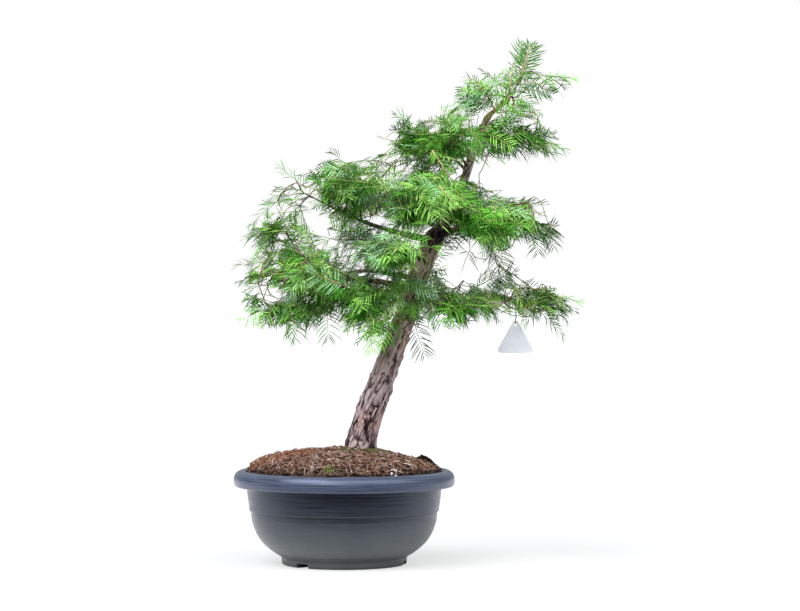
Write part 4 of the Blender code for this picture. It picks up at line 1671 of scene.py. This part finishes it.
@dataclass
class NeedleShape:
    """A bald cypress needle and how the needles stand on a spray, in mm."""

    length: float = 23.0
    width: float = 1.4
    pitch: float = 3.6
    """Distance between needles on one side of the stem."""
    stem_radius: float = 0.55
    hang: float = 0.7
    """How far a needle's end turns down, as a share of its length."""
    ahead: float = 0.36
    """How far it turns towards the spray's tip."""
    parts: tuple = (0.26, 0.66, 1)
    """Where its wide part starts and ends, and its point."""

    def needles(self, sprays: Sprays, draws: Draws, is_open: Callable[[Array], Array]) -> Mesh:
        """Builds the needles of many sprays, four triangles each.

        Args:
            sprays: the sprays.
            draws: random numbers.
            is_open: tells the open places, where no needle ends.

        Returns:
            Points and triangles.
        """
        per_side = np.maximum((sprays.length / self.pitch).astype(int), 6)
        owner = np.repeat(np.arange(len(per_side)), 2 * per_side)
        order = np.arange(len(owner)) - (np.cumsum(2 * per_side) - 2 * per_side)[owner]
        hand = np.where(order % 2 == 0, 1, -1)
        share = (order // 2 + 0.6 + 0.25 * hand) / per_side[owner]
        hand, count = hand[:, None], len(owner)
        place, heading, left = sprays.stem(owner, share)
        left = squared(left, heading)
        rise = np.cross(left, heading)
        grown = np.minimum(1, 0.55 + 2.4 * share) * np.clip((1.16 - share) / 0.42, 0.42, 1)
        length = (self.length * sprays.size[owner] * grown * draws.uniform(0.84, 1.1, count))[:, None]
        angle = np.radians(74 - 34 * share**2 + draws.normal(0, 5, count))[:, None]
        lift = draws.normal(0.24, 0.13, count)[:, None]
        out = unit(np.cos(angle) * heading + np.sin(angle) * hand * left + lift * rise)
        roll = draws.normal(0, 0.4, count)[:, None]
        flat = unit(np.cross(out, rise))
        wide = unit(flat * np.cos(roll) + np.cross(out, flat) * np.sin(roll)) * self.width / 2 * hand
        turned = draws.uniform(0.3, 1.7, (count, 1))
        curl = heading * self.ahead - (0.55 * rise + 0.45 * UP) * self.hang * turned
        near, far, tip = (place + (out * part + curl * part**2 * 0.5) * length for part in self.parts)
        points = np.stack([place, near - wide, near + wide, far - wide * 0.85, far + wide * 0.85, tip], 1)
        points = points[~is_open(far)]
        return points, copied(((0, 2, 1), (1, 2, 4), (1, 4, 3), (3, 4, 5)), 6, len(points))

    def stems(self, sprays: Sprays) -> Mesh:
        """Builds the green stems of many sprays.

        Args:
            sprays: the sprays.

        Returns:
            Points and triangles.
        """
        share = np.linspace(0, 0.97, 5)
        owner = np.repeat(np.arange(len(sprays.length))[:, None], len(share), 1)
        lines = sprays.stem(owner, np.broadcast_to(share, owner.shape))[0]
        return tubes(lines, self.stem_radius * (1 - 0.55 * share) * sprays.stout[:, None], 4)


@dataclass
class Hero:
    """Spray or shoot that the photo shows clearly, by its ends on the picture's plane in mm."""

    x: float
    z: float
    end_x: float
    end_z: float
    tint: Tint
    size: float = 1.0
    stout: float = 1.0
    """Length of its needles and thickness of its stem, as shares of the usual ones."""
    front: bool = True
    """Whether it lies on the crown's front rather than in its middle."""


@dataclass
class Window:
    """Opening in the crown: an ellipse on the picture's plane, in mm."""

    x: float
    z: float
    half_x: float
    half_z: float
    turn: float = 0.0
    """Turn of the ellipse, anticlockwise in degrees."""
    behind: float = 400.0
    """Depth to which it is open; a large one lets the sky through."""

    def reach(self, x: Array, z: Array) -> Array:
        """Finds how far out places lie: 1 on the ellipse, less inside.

        Args:
            x: places across the picture.
            z: places up the picture.

        Returns:
            The square of the distance as a share of its size.
        """
        turn = math.radians(self.turn)
        dx, dz = x - self.x, z - self.z
        across = (dx * math.cos(turn) + dz * math.sin(turn)) / self.half_x
        upright = (dz * math.cos(turn) - dx * math.sin(turn)) / self.half_z
        return across**2 + upright**2


HEROES = tuple(Hero(*row) for row in (
    (118.9, 561.2, 147, 512.5, MID, 0.7, 2.1), (128.4, 512.5, 147.3, 488.1, FRESH, 0.7, 2.1),
    (125.7, 499, 130, 455, FRESH, 0.8, 1.5), (104, 499, 119.6, 474.6, FRESH, 0.9),
    (66, 540, 72, 502, FRESH, 0.8, 1.6), (3.8, 375.8, -49, 394.7, PALE, 1.1, 1.9),
    (96, 404, 63, 416, LIME, 0.9, 1.5), (-108.6, 345.9, -137, 329.7, MID, 0.8),
    (-93.7, 350, -111.3, 322.9, FRESH, 0.8), (-73.4, 351.4, -65.3, 308, DUSK, 1.05),
    (-24.6, 350, -20.6, 309.4, DUSK, 1.1), (30.9, 334.4, 40, 293.2, FRESH, 0.9),
    (55, 334.4, 49, 296.2, MID, 0.9), (70, 340, 62, 300, DUSK, 0.9), (118, 352, 134, 322, DUSK, 0.9),
    (278, 462, 284, 432, DULL, 0.9, 1, False), (262, 454, 262, 424, DUSK, 0.9, 1, False),
    (93.2, 334.4, 105, 286.4, DULL), (166, 592, 192, 562, DUSK, 0.9), (186, 586, 162, 562, MID, 0.8),
    (196, 582, 226, 566, FRESH, 0.8), (172, 512, 150, 474, DUSK), (150, 508, 178, 478, MID),
    (214, 640, 240, 612, MID, 0.8), (222, 652, 196, 636, DUSK, 0.8), (80, 384, 122, 366, PALE, 0.8),
    (122, 382, 84, 364, FRESH, 0.8), (112, 366, 90, 342, MID, 0.8), (170.3, 425.8, 156, 396, DUSK),
    (204.2, 446, 217.7, 380, DULL), (252, 356, 292.2, 312, DUSK, 1, 1, False),
    (-92, 410, -146.5, 404, DULL, 1, 1, False), (-88, 462, -134.3, 439.4, DUSK, 1, 1, False),
    (-62, 478, -111.3, 473.2, MID, 1, 1, False), (-55, 512, -89.6, 540, DUSK, 1, 1, False),
    (14, 530, -19.2, 561, DULL, 1, 1, False), (82, 570, 45.8, 577.5, DULL, 1, 1, False),
    (102, 585, 68.8, 612.7, DUSK, 1, 1, False), (146, 578, 131, 618, FRESH, 1, 1.4),
    (196, 634, 163.6, 661.4, DULL, 1, 1, False), (219.6, 643.5, 182, 673, DULL, 0.6, 1.4, False),
    (239, 654, 252, 708, DUSK, 1.25, 2.8), (243, 662, 258, 702, DUSK, 1.3, 1, False),
    (68, 446, 124, 421, MID, 1.1), (92, 455, 121, 441, DUSK), (84, 432, 116, 410, FRESH),
    (-22, 470, 28, 459, MID), (236, 640, 252, 622, DUSK, 0.7), (227, 674, 244, 708, DUSK, 0.9, 1, False),
    (223.5, 639.8, 229.4, 674, MID, 0.6, 2.4), (196, 632, 172, 660, DUSK, 0.5, 2.4),
    (182, 618, 157, 650, DUSK, 0.9), (184, 612, 156, 608, MID, 0.9),
    (238, 662, 252, 704, DUSK, 1.05, 1, False), (238, 650, 284, 651, DUSK, 0.8),
    (242, 656, 280, 644, DULL, 0.8), (242, 645, 284, 636, DUSK, 0.7),
    (272, 661, 312, 658, MID, 0.9, 1.6, False), (238, 641, 287, 640, DEEP, 0.75),
    (232, 630, 266, 609, DUSK, 0.4), (230, 626, 240, 602, DULL, 0.7), (206, 626, 228, 607, DUSK, 0.8),
    (202, 618, 187, 634, DUSK, 0.8), (262, 574, 299, 561.2, DUSK, 1, 1, False),
    (246, 470, 285.4, 443.5, DUSK, 1, 1, False), (272, 366, 319, 355, MID, 1, 1.6, False),
))

WINDOWS = tuple(Window(*row) for row in (
    (157, 392, 20, 26), (-103, 369, 24, 6), (-80, 521, 20, 6), (50, 573, 26, 9, 25), (8, 550, 13, 6),
    (66, 548, 20, 5), (122, 535, 9, 7), (268, 475, 15, 12, -30), (-104, 366, 30, 9, -20),
    (38, 566, 24, 7, 20), (176, 601, 18, 6, 20), (-50, 512, 20, 6, -10), (58, 562, 14, 6),
    (49.8, 382, 19, 7, 0, -6), (89, 363, 13, 7, 0, 2), (113, 412, 12, 28, -17, 2), (126, 449, 13, 12, 0, 4),
    (152, 459, 20, 5, 8, -4), (192, 608, 16, 8, 37, 6), (165.6, 538, 7, 22, -14, 2), (-28, 449, 34, 8, -42),
    (-84, 478, 19, 8), (-46, 500, 14, 7, -12), (0, 487, 7, 6), (190, 530, 16, 13), (-88, 434, 7, 9),
))


@dataclass
class Crown:
    """Twigs grown through the masses' space, and the sprays on them."""

    limbs: Limbs
    end_spacing: float = 17.0
    side_share: float = 0.82
    """Share of a thin twig's places that carry a side spray."""
    thin: float = 1.3
    """Radius below which a twig carries side sprays."""
    woody: float = 0.62
    """Radius above which a twig is brown rather than green."""
    shortest: float = 30.0
    longest: float = 88.0
    least_inside: float = 0.58
    """Least share of a spray's needle tips inside the masses."""
    turned_in: float = 0.8
    """How far a spray that would leave is turned back."""
    heart: tuple = (96, 440, 112, 92)
    """Middle and half sizes of the crown's heart, which has no gaps."""
    gap_share: float = 0.16
    """Share of the outer crown that gaps from front to back take."""
    gap_size: float = 11.0
    outline: float = 17.0
    # Sprays in parts less than twice this deep often get the dull tint, painted shade for sprays seen against
    # the sky.
    """Sprays in parts less than twice this deep look dull against the sky."""
    dull_share: float = 0.7
    tan_stout: float = 1.85
    """Stoutness above which a shoot is tan rather than green."""
    tint_shares: tuple = (0.26, 0.18, 0.17, 0.18, 0.05, 0.1, 0.06)
    """Share of the sprays that each tint gets, from the deepest on."""
    stray_share: float = 0.22
    """Share of the sprays that take a tint by chance instead."""
    needle: NeedleShape = field(default_factory=NeedleShape)
    eye: tuple = (75.6, -4250, 425)
    """The place that the picture is seen from, in mm."""
    space: CrownSpace = field(default_factory=CrownSpace)
    draws: Draws = field(default_factory=lambda: np.random.default_rng(SEED + 7))
    tree: Skeleton = field(init=False)

    def __post_init__(self) -> None:
        """Starts the tree from the limbs."""
        self.tree = Skeleton(self.limbs)

    def outward(self, places: Array) -> Array:
        """The level direction away from the trunk at each place."""
        away = places[:, :2] - self.limbs.centre_at(places[:, 2])
        return unit(np.column_stack([away, np.zeros(len(away))]))

    def laid_out(self, base: Array, along: Array, twig: Array) -> Sprays:
        """Gives sprays lengths and bends from the room that they have.

        Args:
            base: where each starts.
            along: which way it runs.
            twig: its twig's number; sprays of one twig lie in about one plane.

        Returns:
            The sprays.
        """
        count, draws = len(base), self.draws
        room = self.space.way_out(base, unit(along - UP * 0.12), 96)
        length = np.clip(room - draws.uniform(-6, 6, count), self.shortest, self.longest)
        length = np.minimum(length, draws.uniform(46, 92, count))
        plane = draws.normal(0, 0.36, (twig.max() + 1, 3))[twig]
        up = UP + plane + draws.normal(0, 0.2, (count, 3)) + self.outward(base) * 0.8
        low = 1 - bend(base[:, 2], 330, 600)
        droop = draws.uniform(0.05, 0.42, count) * (0.45 + 0.85 * low)
        size = draws.uniform(0.7, 1.12, count)
        stout = draws.uniform(0.8, 1.3, count)
        bow = draws.normal(0, 0.12, count)
        return Sprays(base, along, squared(up, along), length, droop, bow, size, twig, stout)

    def grow(self) -> None:
        """Grows the twigs, those to places near the limbs first."""
        targets = self.space.spread(self.end_spacing, self.draws)
        limbs = self.tree.place[:self.tree.count]
        gaps = [np.linalg.norm(limbs - target, axis=1).min() for target in targets]
        for target in targets[np.argsort(gaps)]:
            self.tree.grow_to(target, self.draws)

    def on_twigs(self, chains: list, radii: Array) -> Sprays:
        """Sets sprays at the twigs' ends and in turn on their two sides.

        Args:
            chains: the tree's twigs.
            radii: its radii.

        Returns:
            The sprays.
        """
        index, side, ends, twig = [], [], [], []
        for number, chain in enumerate(chains):
            for order, place in enumerate(chain[1:]):
                last = place == chain[-1]
                if not last and (radii[place] > self.thin or self.draws.random() > self.side_share):
                    continue
                index.append(place)
                side.append(1 if order % 2 else -1)
                ends.append(last)
                twig.append(number)
        base, along, twig = self.tree.place[index], self.tree.heading[index], np.array(twig)
        side, ends = np.array(side)[:, None], np.array(ends)[:, None]
        across = unit(np.cross(along, UP) + 1e-3)
        heading = along * np.where(ends, 1, 0.62) + across * (np.where(ends, 0, 0.9) * side)
        heading += self.outward(base) * 0.38 + self.draws.normal(0, 0.2, (len(base), 3))
        height = bend(base[:, 2], 330, 640)[:, None]
        heading[:, 2:] = heading[:, 2:] * 0.75 + (-0.3 + 0.42 * height)
        heading = unit(heading)
        first = self.laid_out(base, heading, twig)
        deeper = unit(self.space.read(self.space.slope, base + heading * 26))
        second = self.laid_out(base, unit(heading + deeper * self.turned_in), twig)
        poor = self.inside(first) < self.least_inside
        return first.picked(~poor).joined(second.picked(poor))

    def in_depth(self, x: float, z: float, depth: float) -> Array:
        """Moves a point of the picture to a depth, in line with the eye.

        Args:
            x: its place across.
            z: its height.
            depth: the depth.

        Returns:
            Its place.
        """
        share = (depth - self.eye[1]) / -self.eye[1]
        across, up = self.eye[0] + (x - self.eye[0]) * share, self.eye[2] + (z - self.eye[2]) * share
        return np.array([across, depth, up])

    def depth_of(self, hero: Hero) -> float:
        """Finds how deep a hero spray starts.

        Args:
            hero: the spray.

        Returns:
            The depth.
        """
        depths = np.arange(-130, 140, 4)
        places = np.array([self.in_depth(hero.x, hero.z, depth) for depth in depths])
        filled = depths[self.space.holds(places)]
        if not len(filled):
            return 0
        if hero.front:
            return float(filled[0]) + 5
        return float(np.clip(filled.mean(), filled[0] + 10, 40))

    def heroes(self) -> Sprays:
        """Grows a twig to each spray that the photo shows clearly.

        Returns:
            The sprays, in the list's order.
        """
        base, reach = [], []
        for hero in HEROES:
            depth = self.depth_of(hero)
            base.append(self.in_depth(hero.x, hero.z, depth))
            reach.append(self.in_depth(hero.end_x, hero.end_z, depth - 6 * hero.front) - base[-1])
            self.tree.grow_to(base[-1], self.draws, 0.04)
        base, along, count = np.array(base), unit(np.array(reach)), len(base)
        front = np.array([hero.front for hero in HEROES])[:, None]
        up = squared(np.where(front, np.array([0.0, -0.8, 0.6]), np.array([0.0, -0.35, 0.94])), along)
        along = unit(along + UP * 0.08)
        bow = self.draws.normal(0, 0.05, count)
        size, stout = (np.array([getattr(hero, name) for hero in HEROES]) for name in ("size", "stout"))
        length = np.linalg.norm(reach, axis=1)
        return Sprays(base, along, up, length, np.full(count, 0.16), bow, size, np.zeros(count, int), stout)

    def is_open(self, place: Array) -> Array:
        """Tells which places lie in a window or a gap.

        Args:
            place: the places.

        Returns:
            True for each open place.
        """
        scale = -self.eye[1] / (place[:, 1] - self.eye[1])
        x = self.eye[0] + (place[:, 0] - self.eye[0]) * scale
        z = self.eye[2] + (place[:, 2] - self.eye[2]) * scale
        flat = np.stack([x, 0 * x, z], -1)
        noise = Noise(SEED + 10)
        chosen = np.random.default_rng(SEED + 11).uniform(0.0, 90.0, (4000, 3)) * np.array([1.0, 0.0, 1.0])
        level = np.quantile(noise.at(chosen), 1 - self.gap_share)
        outside = Window(*self.heart).reach(x, z) > 1
        result = outside & (noise.at(flat / self.gap_size) > level)
        ragged = 1 + 0.5 * noise.at(flat / 8 + 41)
        for window in WINDOWS:
            result |= (window.reach(x, z) < ragged) & (place[:, 1] < window.behind)
        return result

    def opened(self, sprays: Sprays) -> Array:
        """Tells which sprays have most of their stem out of windows and gaps."""
        shares = (0.12, 0.4, 0.7, 0.97)
        return sum(self.is_open(sprays.at(share)[0]).astype(int) for share in shares) < 0.5 * len(shares)

    def inside(self, sprays: Sprays) -> Array:
        """Finds how much of each spray lies inside the crown.

        Args:
            sprays: the sprays.

        Returns:
            The share of its needle tips that do.
        """
        inside, shares, sides = 0, (0.3, 0.65, 1), (-0.75, 0.75)
        for share in shares:
            place, heading, left = sprays.at(share)
            for side in sides:
                tip = place + (left * side + heading * 0.4) * (self.needle.length * sprays.size)[:, None]
                inside += self.space.holds(tip)
        return inside / (len(shares) * len(sides))

    def in_box(self, sprays: Sprays) -> Array:
        """Tells which sprays stay near the CAD model's box, needles included.

        Args:
            sprays: the sprays.

        Returns:
            True for each that does.
        """
        low, high = (np.array(corner) / MM for corner in CAD_BOX)
        room = 0.03 * (high - low) + 7
        kept = True
        for share in (0.5, 1):
            place = sprays.at(share)[0]
            edge = self.needle.length * (0.95 - 0.65 * share)
            kept &= np.all((place - edge > low - room) & (place + edge < high + room), axis=-1)
        return kept

    def dealt(self, sprays: Sprays) -> Array:
        """Deals out tints: darker deep down and on the crown's right as painted shade, fresher on top and
        outside as painted light.

        Args:
            sprays: the sprays.

        Returns:
            The number of each spray's tint.
        """
        middle, draws = sprays.at(0.6)[0], self.draws
        # painted light and shade: depth, height and the right side rank the sprays from dark to light tints,
        # with some random spread
        painted_light_score = -self.space.read(self.space.depth, middle) * self.space.cell / 30
        painted_light_score = painted_light_score + 0.3 * bend(middle[:, 2], 320, 640) + 0.6 * Noise(SEED + 8).at(middle / 42)
        painted_light_score -= 0.5 * bend(middle[:, 0] - middle[:, 1] * 0.3, 90, 210)
        painted_light_score += draws.normal(0, 0.34, sprays.twig.max() + 1)[sprays.twig]
        painted_light_score += draws.normal(0, 0.24, len(middle))
        shares = np.array(self.tint_shares)
        counts = (shares[:-1] * len(middle)).astype(int)
        tints = np.zeros(len(middle), int)
        tints[np.argsort(painted_light_score)] = np.repeat(np.arange(len(shares)), [*counts, len(middle) - counts.sum()])
        swapped = draws.random(len(middle)) < self.stray_share
        tints[swapped] = draws.choice(len(shares), swapped.sum(), p=shares / sum(self.tint_shares))
        # painted shade: many sprays where the crown is thin take the dull tint
        outline = self.space.read(self.space.thickness, middle) * self.space.cell < self.outline
        tints[outline & (draws.random(len(middle)) < self.dull_share)] = list(Tint).index(DULL)
        return tints

    def twigs(self, chains: list, radii: Array) -> None:
        """Builds the twigs: brown where they are old, green at their ends.

        Args:
            chains: the tree's twigs.
            radii: its radii.
        """
        old, young, shaken = Shape(), Shape(), Noise(SEED + 9)
        for chain in chains:
            size = radii[chain]
            size[0] = min(size[0], size[1] * 1.25)
            line = np.column_stack([self.tree.place[chain], size])
            if len(chain) > 2:
                line = smooth_line(line, 3.4)
            places = line[:, :3]
            size = np.maximum(line[:, 3], 0.3) * (1 + 0.16 * shaken.at(places / 5))
            woody = line[:, 3] > self.woody
            switch = len(line) if woody.all() else int(np.argmin(woody))
            if switch >= 2:
                sides = 9 if size[0] > 2 else 6 if size[0] > 1 else 5
                old.add(*tube(places[:switch], size[:switch], sides))
            if switch < len(line) - 1:
                start = max(switch - 1, 0)
                size[-1] *= 0.6
                young.add(*tube(places[start:], size[start:], 4))
        bark = CypressBark("twig_bark", shade="#3A2A22", body="#5E4638", strip="#8F7361",
                           warm_body="#5A3E2C", warm_strip="#84664F", lean=60, streak_width=1,
                           streak_length=7)
        old.piece("twigs_old", bark, "bark")
        young.piece("twigs_young", LivingTissue("green_shoot", "#8A9C50"), "needles")

    def build(self) -> None:
        """Grows the crown and replaces the masses with it."""
        self.grow()
        heroes = self.heroes()
        radii = self.tree.radii()
        chains = self.tree.chains(radii)
        sprays = self.on_twigs(chains, radii)
        full = self.inside(sprays) >= self.least_inside
        sprays = sprays.picked(full & self.opened(sprays) & self.in_box(sprays))
        LOG.info("%d twigs, %d sprays", len(chains), len(sprays.length))
        kinds = list(Tint)
        tints = np.concatenate([self.dealt(sprays), [kinds.index(hero.tint) for hero in HEROES]])
        sprays = sprays.joined(heroes)
        self.twigs(chains, radii)
        pieces = []
        for number, tint in enumerate(kinds):
            name = f"needles_{tint.name.lower()}"
            shape = Shape(*self.needle.needles(sprays.picked(tints == number), self.draws, self.is_open))
            pieces.append(shape.piece(name, LivingTissue(name, tint.value), "needles"))
        tan = sprays.stout > self.tan_stout
        for name, colour, chosen in (("spray_stems", "#A0B664", ~tan), ("tan_shoots", "#C8B483", tan)):
            shape = Shape(*self.needle.stems(sprays.picked(chosen)))
            shape.piece(name, LivingTissue(name, colour), "needles")
        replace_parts(pieces[kinds.index(MID)], *self.space.names)


@dataclass
class HangTag:
    """Hang tag on its loop: a bare rounded triangle with a hole."""

    corner: float = 5.0
    hole_radius: float = 2.0
    soft_edge: float = 0.28
    sheet_bow: float = 0.9
    steps: int = 9
    """Rings of points on each face, and points round each corner."""
    loop_radius: float = 0.6

    def outline(self, inset: float, width: float, height: float) -> Array:
        """Works out the rounded triangle.

        Args:
            inset: how far inside the tag's outline it lies.
            width: the tag's width.
            height: the tag's height.

        Returns:
            Points across and up from the foot's middle.
        """
        lower, apex = width / 2 - self.corner, height - self.corner
        slope = math.degrees(math.atan2(apex - self.corner, lower))
        corners = (
            ((lower, self.corner), -90, 90 - slope),
            ((0, apex), 90 - slope, 90 + slope),
            ((-lower, self.corner), 90 + slope, 270),
        )
        runs = []
        for middle, start, end in corners:
            turn = np.radians(np.linspace(start, end, self.steps))
            runs.append(np.array(middle) + on_circle(turn) * (self.corner - inset))
        return np.concatenate(runs)

    def sheet(self) -> None:
        """Builds the sheet with softened edges and its hole."""
        low, high = box_of("hang_tag")
        width, thick, height = high - low
        outer, inner = self.outline(0, width, height), self.outline(self.soft_edge, width, height)
        apex = np.array([0.0, height - self.corner])
        turn = np.unwrap(np.arctan2(outer[:, 1] - apex[1], outer[:, 0]))
        hole = apex + on_circle(turn) * self.hole_radius
        face = [hole + (inner - hole) * share for share in np.linspace(0, 1, self.steps)]
        layers = [(ring, 0) for ring in face] + [(outer, self.soft_edge), (outer, thick - self.soft_edge)]
        points = []
        for ring, back in layers + [(ring, thick) for ring in face[::-1]]:
            bowed = self.sheet_bow * (1 - (ring[:, 0] / (width / 2)) ** 2) - self.sheet_bow * 0.5
            middle = (low[0] + high[0]) / 2
            points.append(np.stack([middle + ring[:, 0], low[1] + back - bowed, low[2] + ring[:, 1]], -1))
        rows, columns = len(points), len(outer)
        shape = Shape(np.array(points), grid_faces(rows + 1, columns) % (rows * columns))
        tag = shape.piece("hang_tag_sheet", TintedStyrene(), "clear_plastic")
        tag.data.set_sharp_from_angle(angle=math.radians(35))
        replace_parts(tag, "hang_tag")

    def loop(self) -> None:
        """Builds the loop: a dark hook, and clear line above it."""
        low, high = box_of("tag_loop")
        half = (high - low) / 2 - self.loop_radius
        parts = (
            ("tag_hook", DrawnNylon("coated_wire", "#1F2023"), -158, -22, 0.55),
            ("tag_line", DrawnNylon("nylon_line", "#D9DCE2", clear=0.6), -24, 204, 0.3),
        )
        for name, finish, start, end, radius in parts:
            turn = np.radians(np.linspace(start, end, 40))
            ring = np.column_stack([0 * turn, half[1] * np.cos(turn), half[2] * np.sin(turn)])
            shape = Shape(*tube((low + high) / 2 + ring, np.full(len(turn), radius), 10))
            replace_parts(shape.piece(name, finish, "wire"), "tag_loop")

    def build(self) -> None:
        """Builds the tag and its loop."""
        self.sheet()
        self.loop()


@dataclass
class Studio:
    """White floor and air, soft lights from above, and the camera at the photo's place."""

    eye: tuple = (0.0756, -4.25, 0.425)
    aim: tuple = (0.0756, 0, 0.3507)
    lens: float = 141.2
    sensor: float = 36.0
    air_light: float = 0.2
    """Strength of the air's light, weaker than the white that shows."""
    floor_half: float = 60.0
    floor_seen: float = 0.25
    """Share of the light that the floor shows, just enough for full white."""
    floor_glow: float = 0.62
    near: tuple = (-0.46, 0.05)
    far: tuple = (-0.1, 0.84)
    """Two depths in metres, and the floor's brightness there in mirrors and as light."""
    lights: tuple = (
        ("left_light", 3.4, 44, -50, 54, "#F9FBFF"),
        ("right_light", 2, 50, 54, 50, "#F9FBFF"),
        ("front_light", 1.5, 36, -12, 42, "#FFFFFF"),
        ("back_light", 0.5, 90, 180, 40, "#FFFFFF"),
    )
    """Each far light's strength, width, turn from the front to +X, height (degrees) and colour."""

    def camera(self) -> None:
        """Places the camera."""
        data = bpy.data.cameras.new("camera")
        data.lens = self.lens
        data.sensor_width = self.sensor
        data.sensor_fit = "HORIZONTAL"
        camera = placed("camera", data)
        camera.location = self.eye
        heading = Vector(self.aim) - Vector(self.eye)
        camera.rotation_euler = heading.to_track_quat("-Z", "Y").to_euler()
        bpy.context.scene.camera = camera

    def lamps(self) -> None:
        """Adds the lights."""
        for name, strength, spread, azimuth, height, colour in self.lights:
            data = bpy.data.lights.new(name, "SUN")
            data.energy = strength
            data.angle = math.radians(spread)
            data.color = linear(colour)[:3]
            turn, rise = math.radians(azimuth), math.radians(height)
            level = (math.sin(turn) * math.cos(rise), -math.cos(turn) * math.cos(rise))
            place = Vector((*level, math.sin(rise)))
            placed(name, data).rotation_euler = place.to_track_quat("Z", "Y").to_euler()

    def air(self) -> None:
        """Makes the white air: bright to the camera, softer as light."""
        world = bpy.data.worlds.new("air")
        world.use_nodes = True
        world.node_tree.nodes.clear()
        node = partial(add_node, world.node_tree)
        light = node("Background", {"Color": linear("#F6F9FF"), "Strength": self.air_light})
        seen = node("Background", {"Color": linear("#FFFFFF"), "Strength": 1})
        to_camera = node("LightPath", {}, "Is Camera Ray")
        node("OutputWorld", {"Surface": node("MixShader", {0: to_camera, 1: light, 2: seen})})
        bpy.context.scene.world = world

    def floor(self) -> None:
        """Lays white paper that glows a little where it is seen, so that shadows stay faint.

        As light, and in mirrors, it is plain and gets darker towards the front.
        """
        mesh, reach = bpy.data.meshes.new("floor"), self.floor_half
        corners = [(-reach, -reach, 0), (reach, -reach, 0), (reach, reach, 0), (-reach, reach, 0)]
        mesh.from_pydata(corners, [], [(0, 1, 2, 3)])
        material = bpy.data.materials.new("floor_paper")
        material.use_nodes = True
        material.node_tree.nodes.clear()
        node = partial(add_node, material.node_tree)
        paper = node("BsdfDiffuse", {"Color": (self.floor_seen, self.floor_seen, self.floor_seen, 1)})
        glow = node("Emission", {"Color": linear("#FFFFFF"), "Strength": self.floor_glow})
        depth = node("SeparateXYZ", {"Vector": node("TexCoord", {}, "Object")}, "Y")
        share = node("MapRange", {
            "Value": depth, "From Min": self.near[0], "From Max": self.far[0],
            "To Min": self.near[1], "To Max": self.far[1],
        })
        both = node("MixShader", {
            0: node("LightPath", {}, "Is Camera Ray"),
            1: node("BsdfDiffuse", {"Color": share}),
            2: node("AddShader", {0: paper, 1: glow}),
        })
        node("OutputMaterial", {"Surface": both})
        mesh.materials.append(material)
        placed("floor", mesh)

    def build(self) -> None:
        """Sets up the studio."""
        bpy.context.scene.view_settings.view_transform = "Standard"
        self.camera()
        self.air()
        self.floor()
        self.lamps()


def write_sizes() -> None:
    """Updates the view layer."""
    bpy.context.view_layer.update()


def main() -> None:
    """Builds the bonsai's looks and the studio round it."""
    logging.basicConfig(level=logging.INFO, format="%(message)s")
    Pot().build()
    Soil().build()
    limbs = Limbs()
    limbs.build()
    Crown(limbs).build()
    HangTag().build()
    Studio().build()
    write_sizes()


if __name__ == "__main__":
    main()
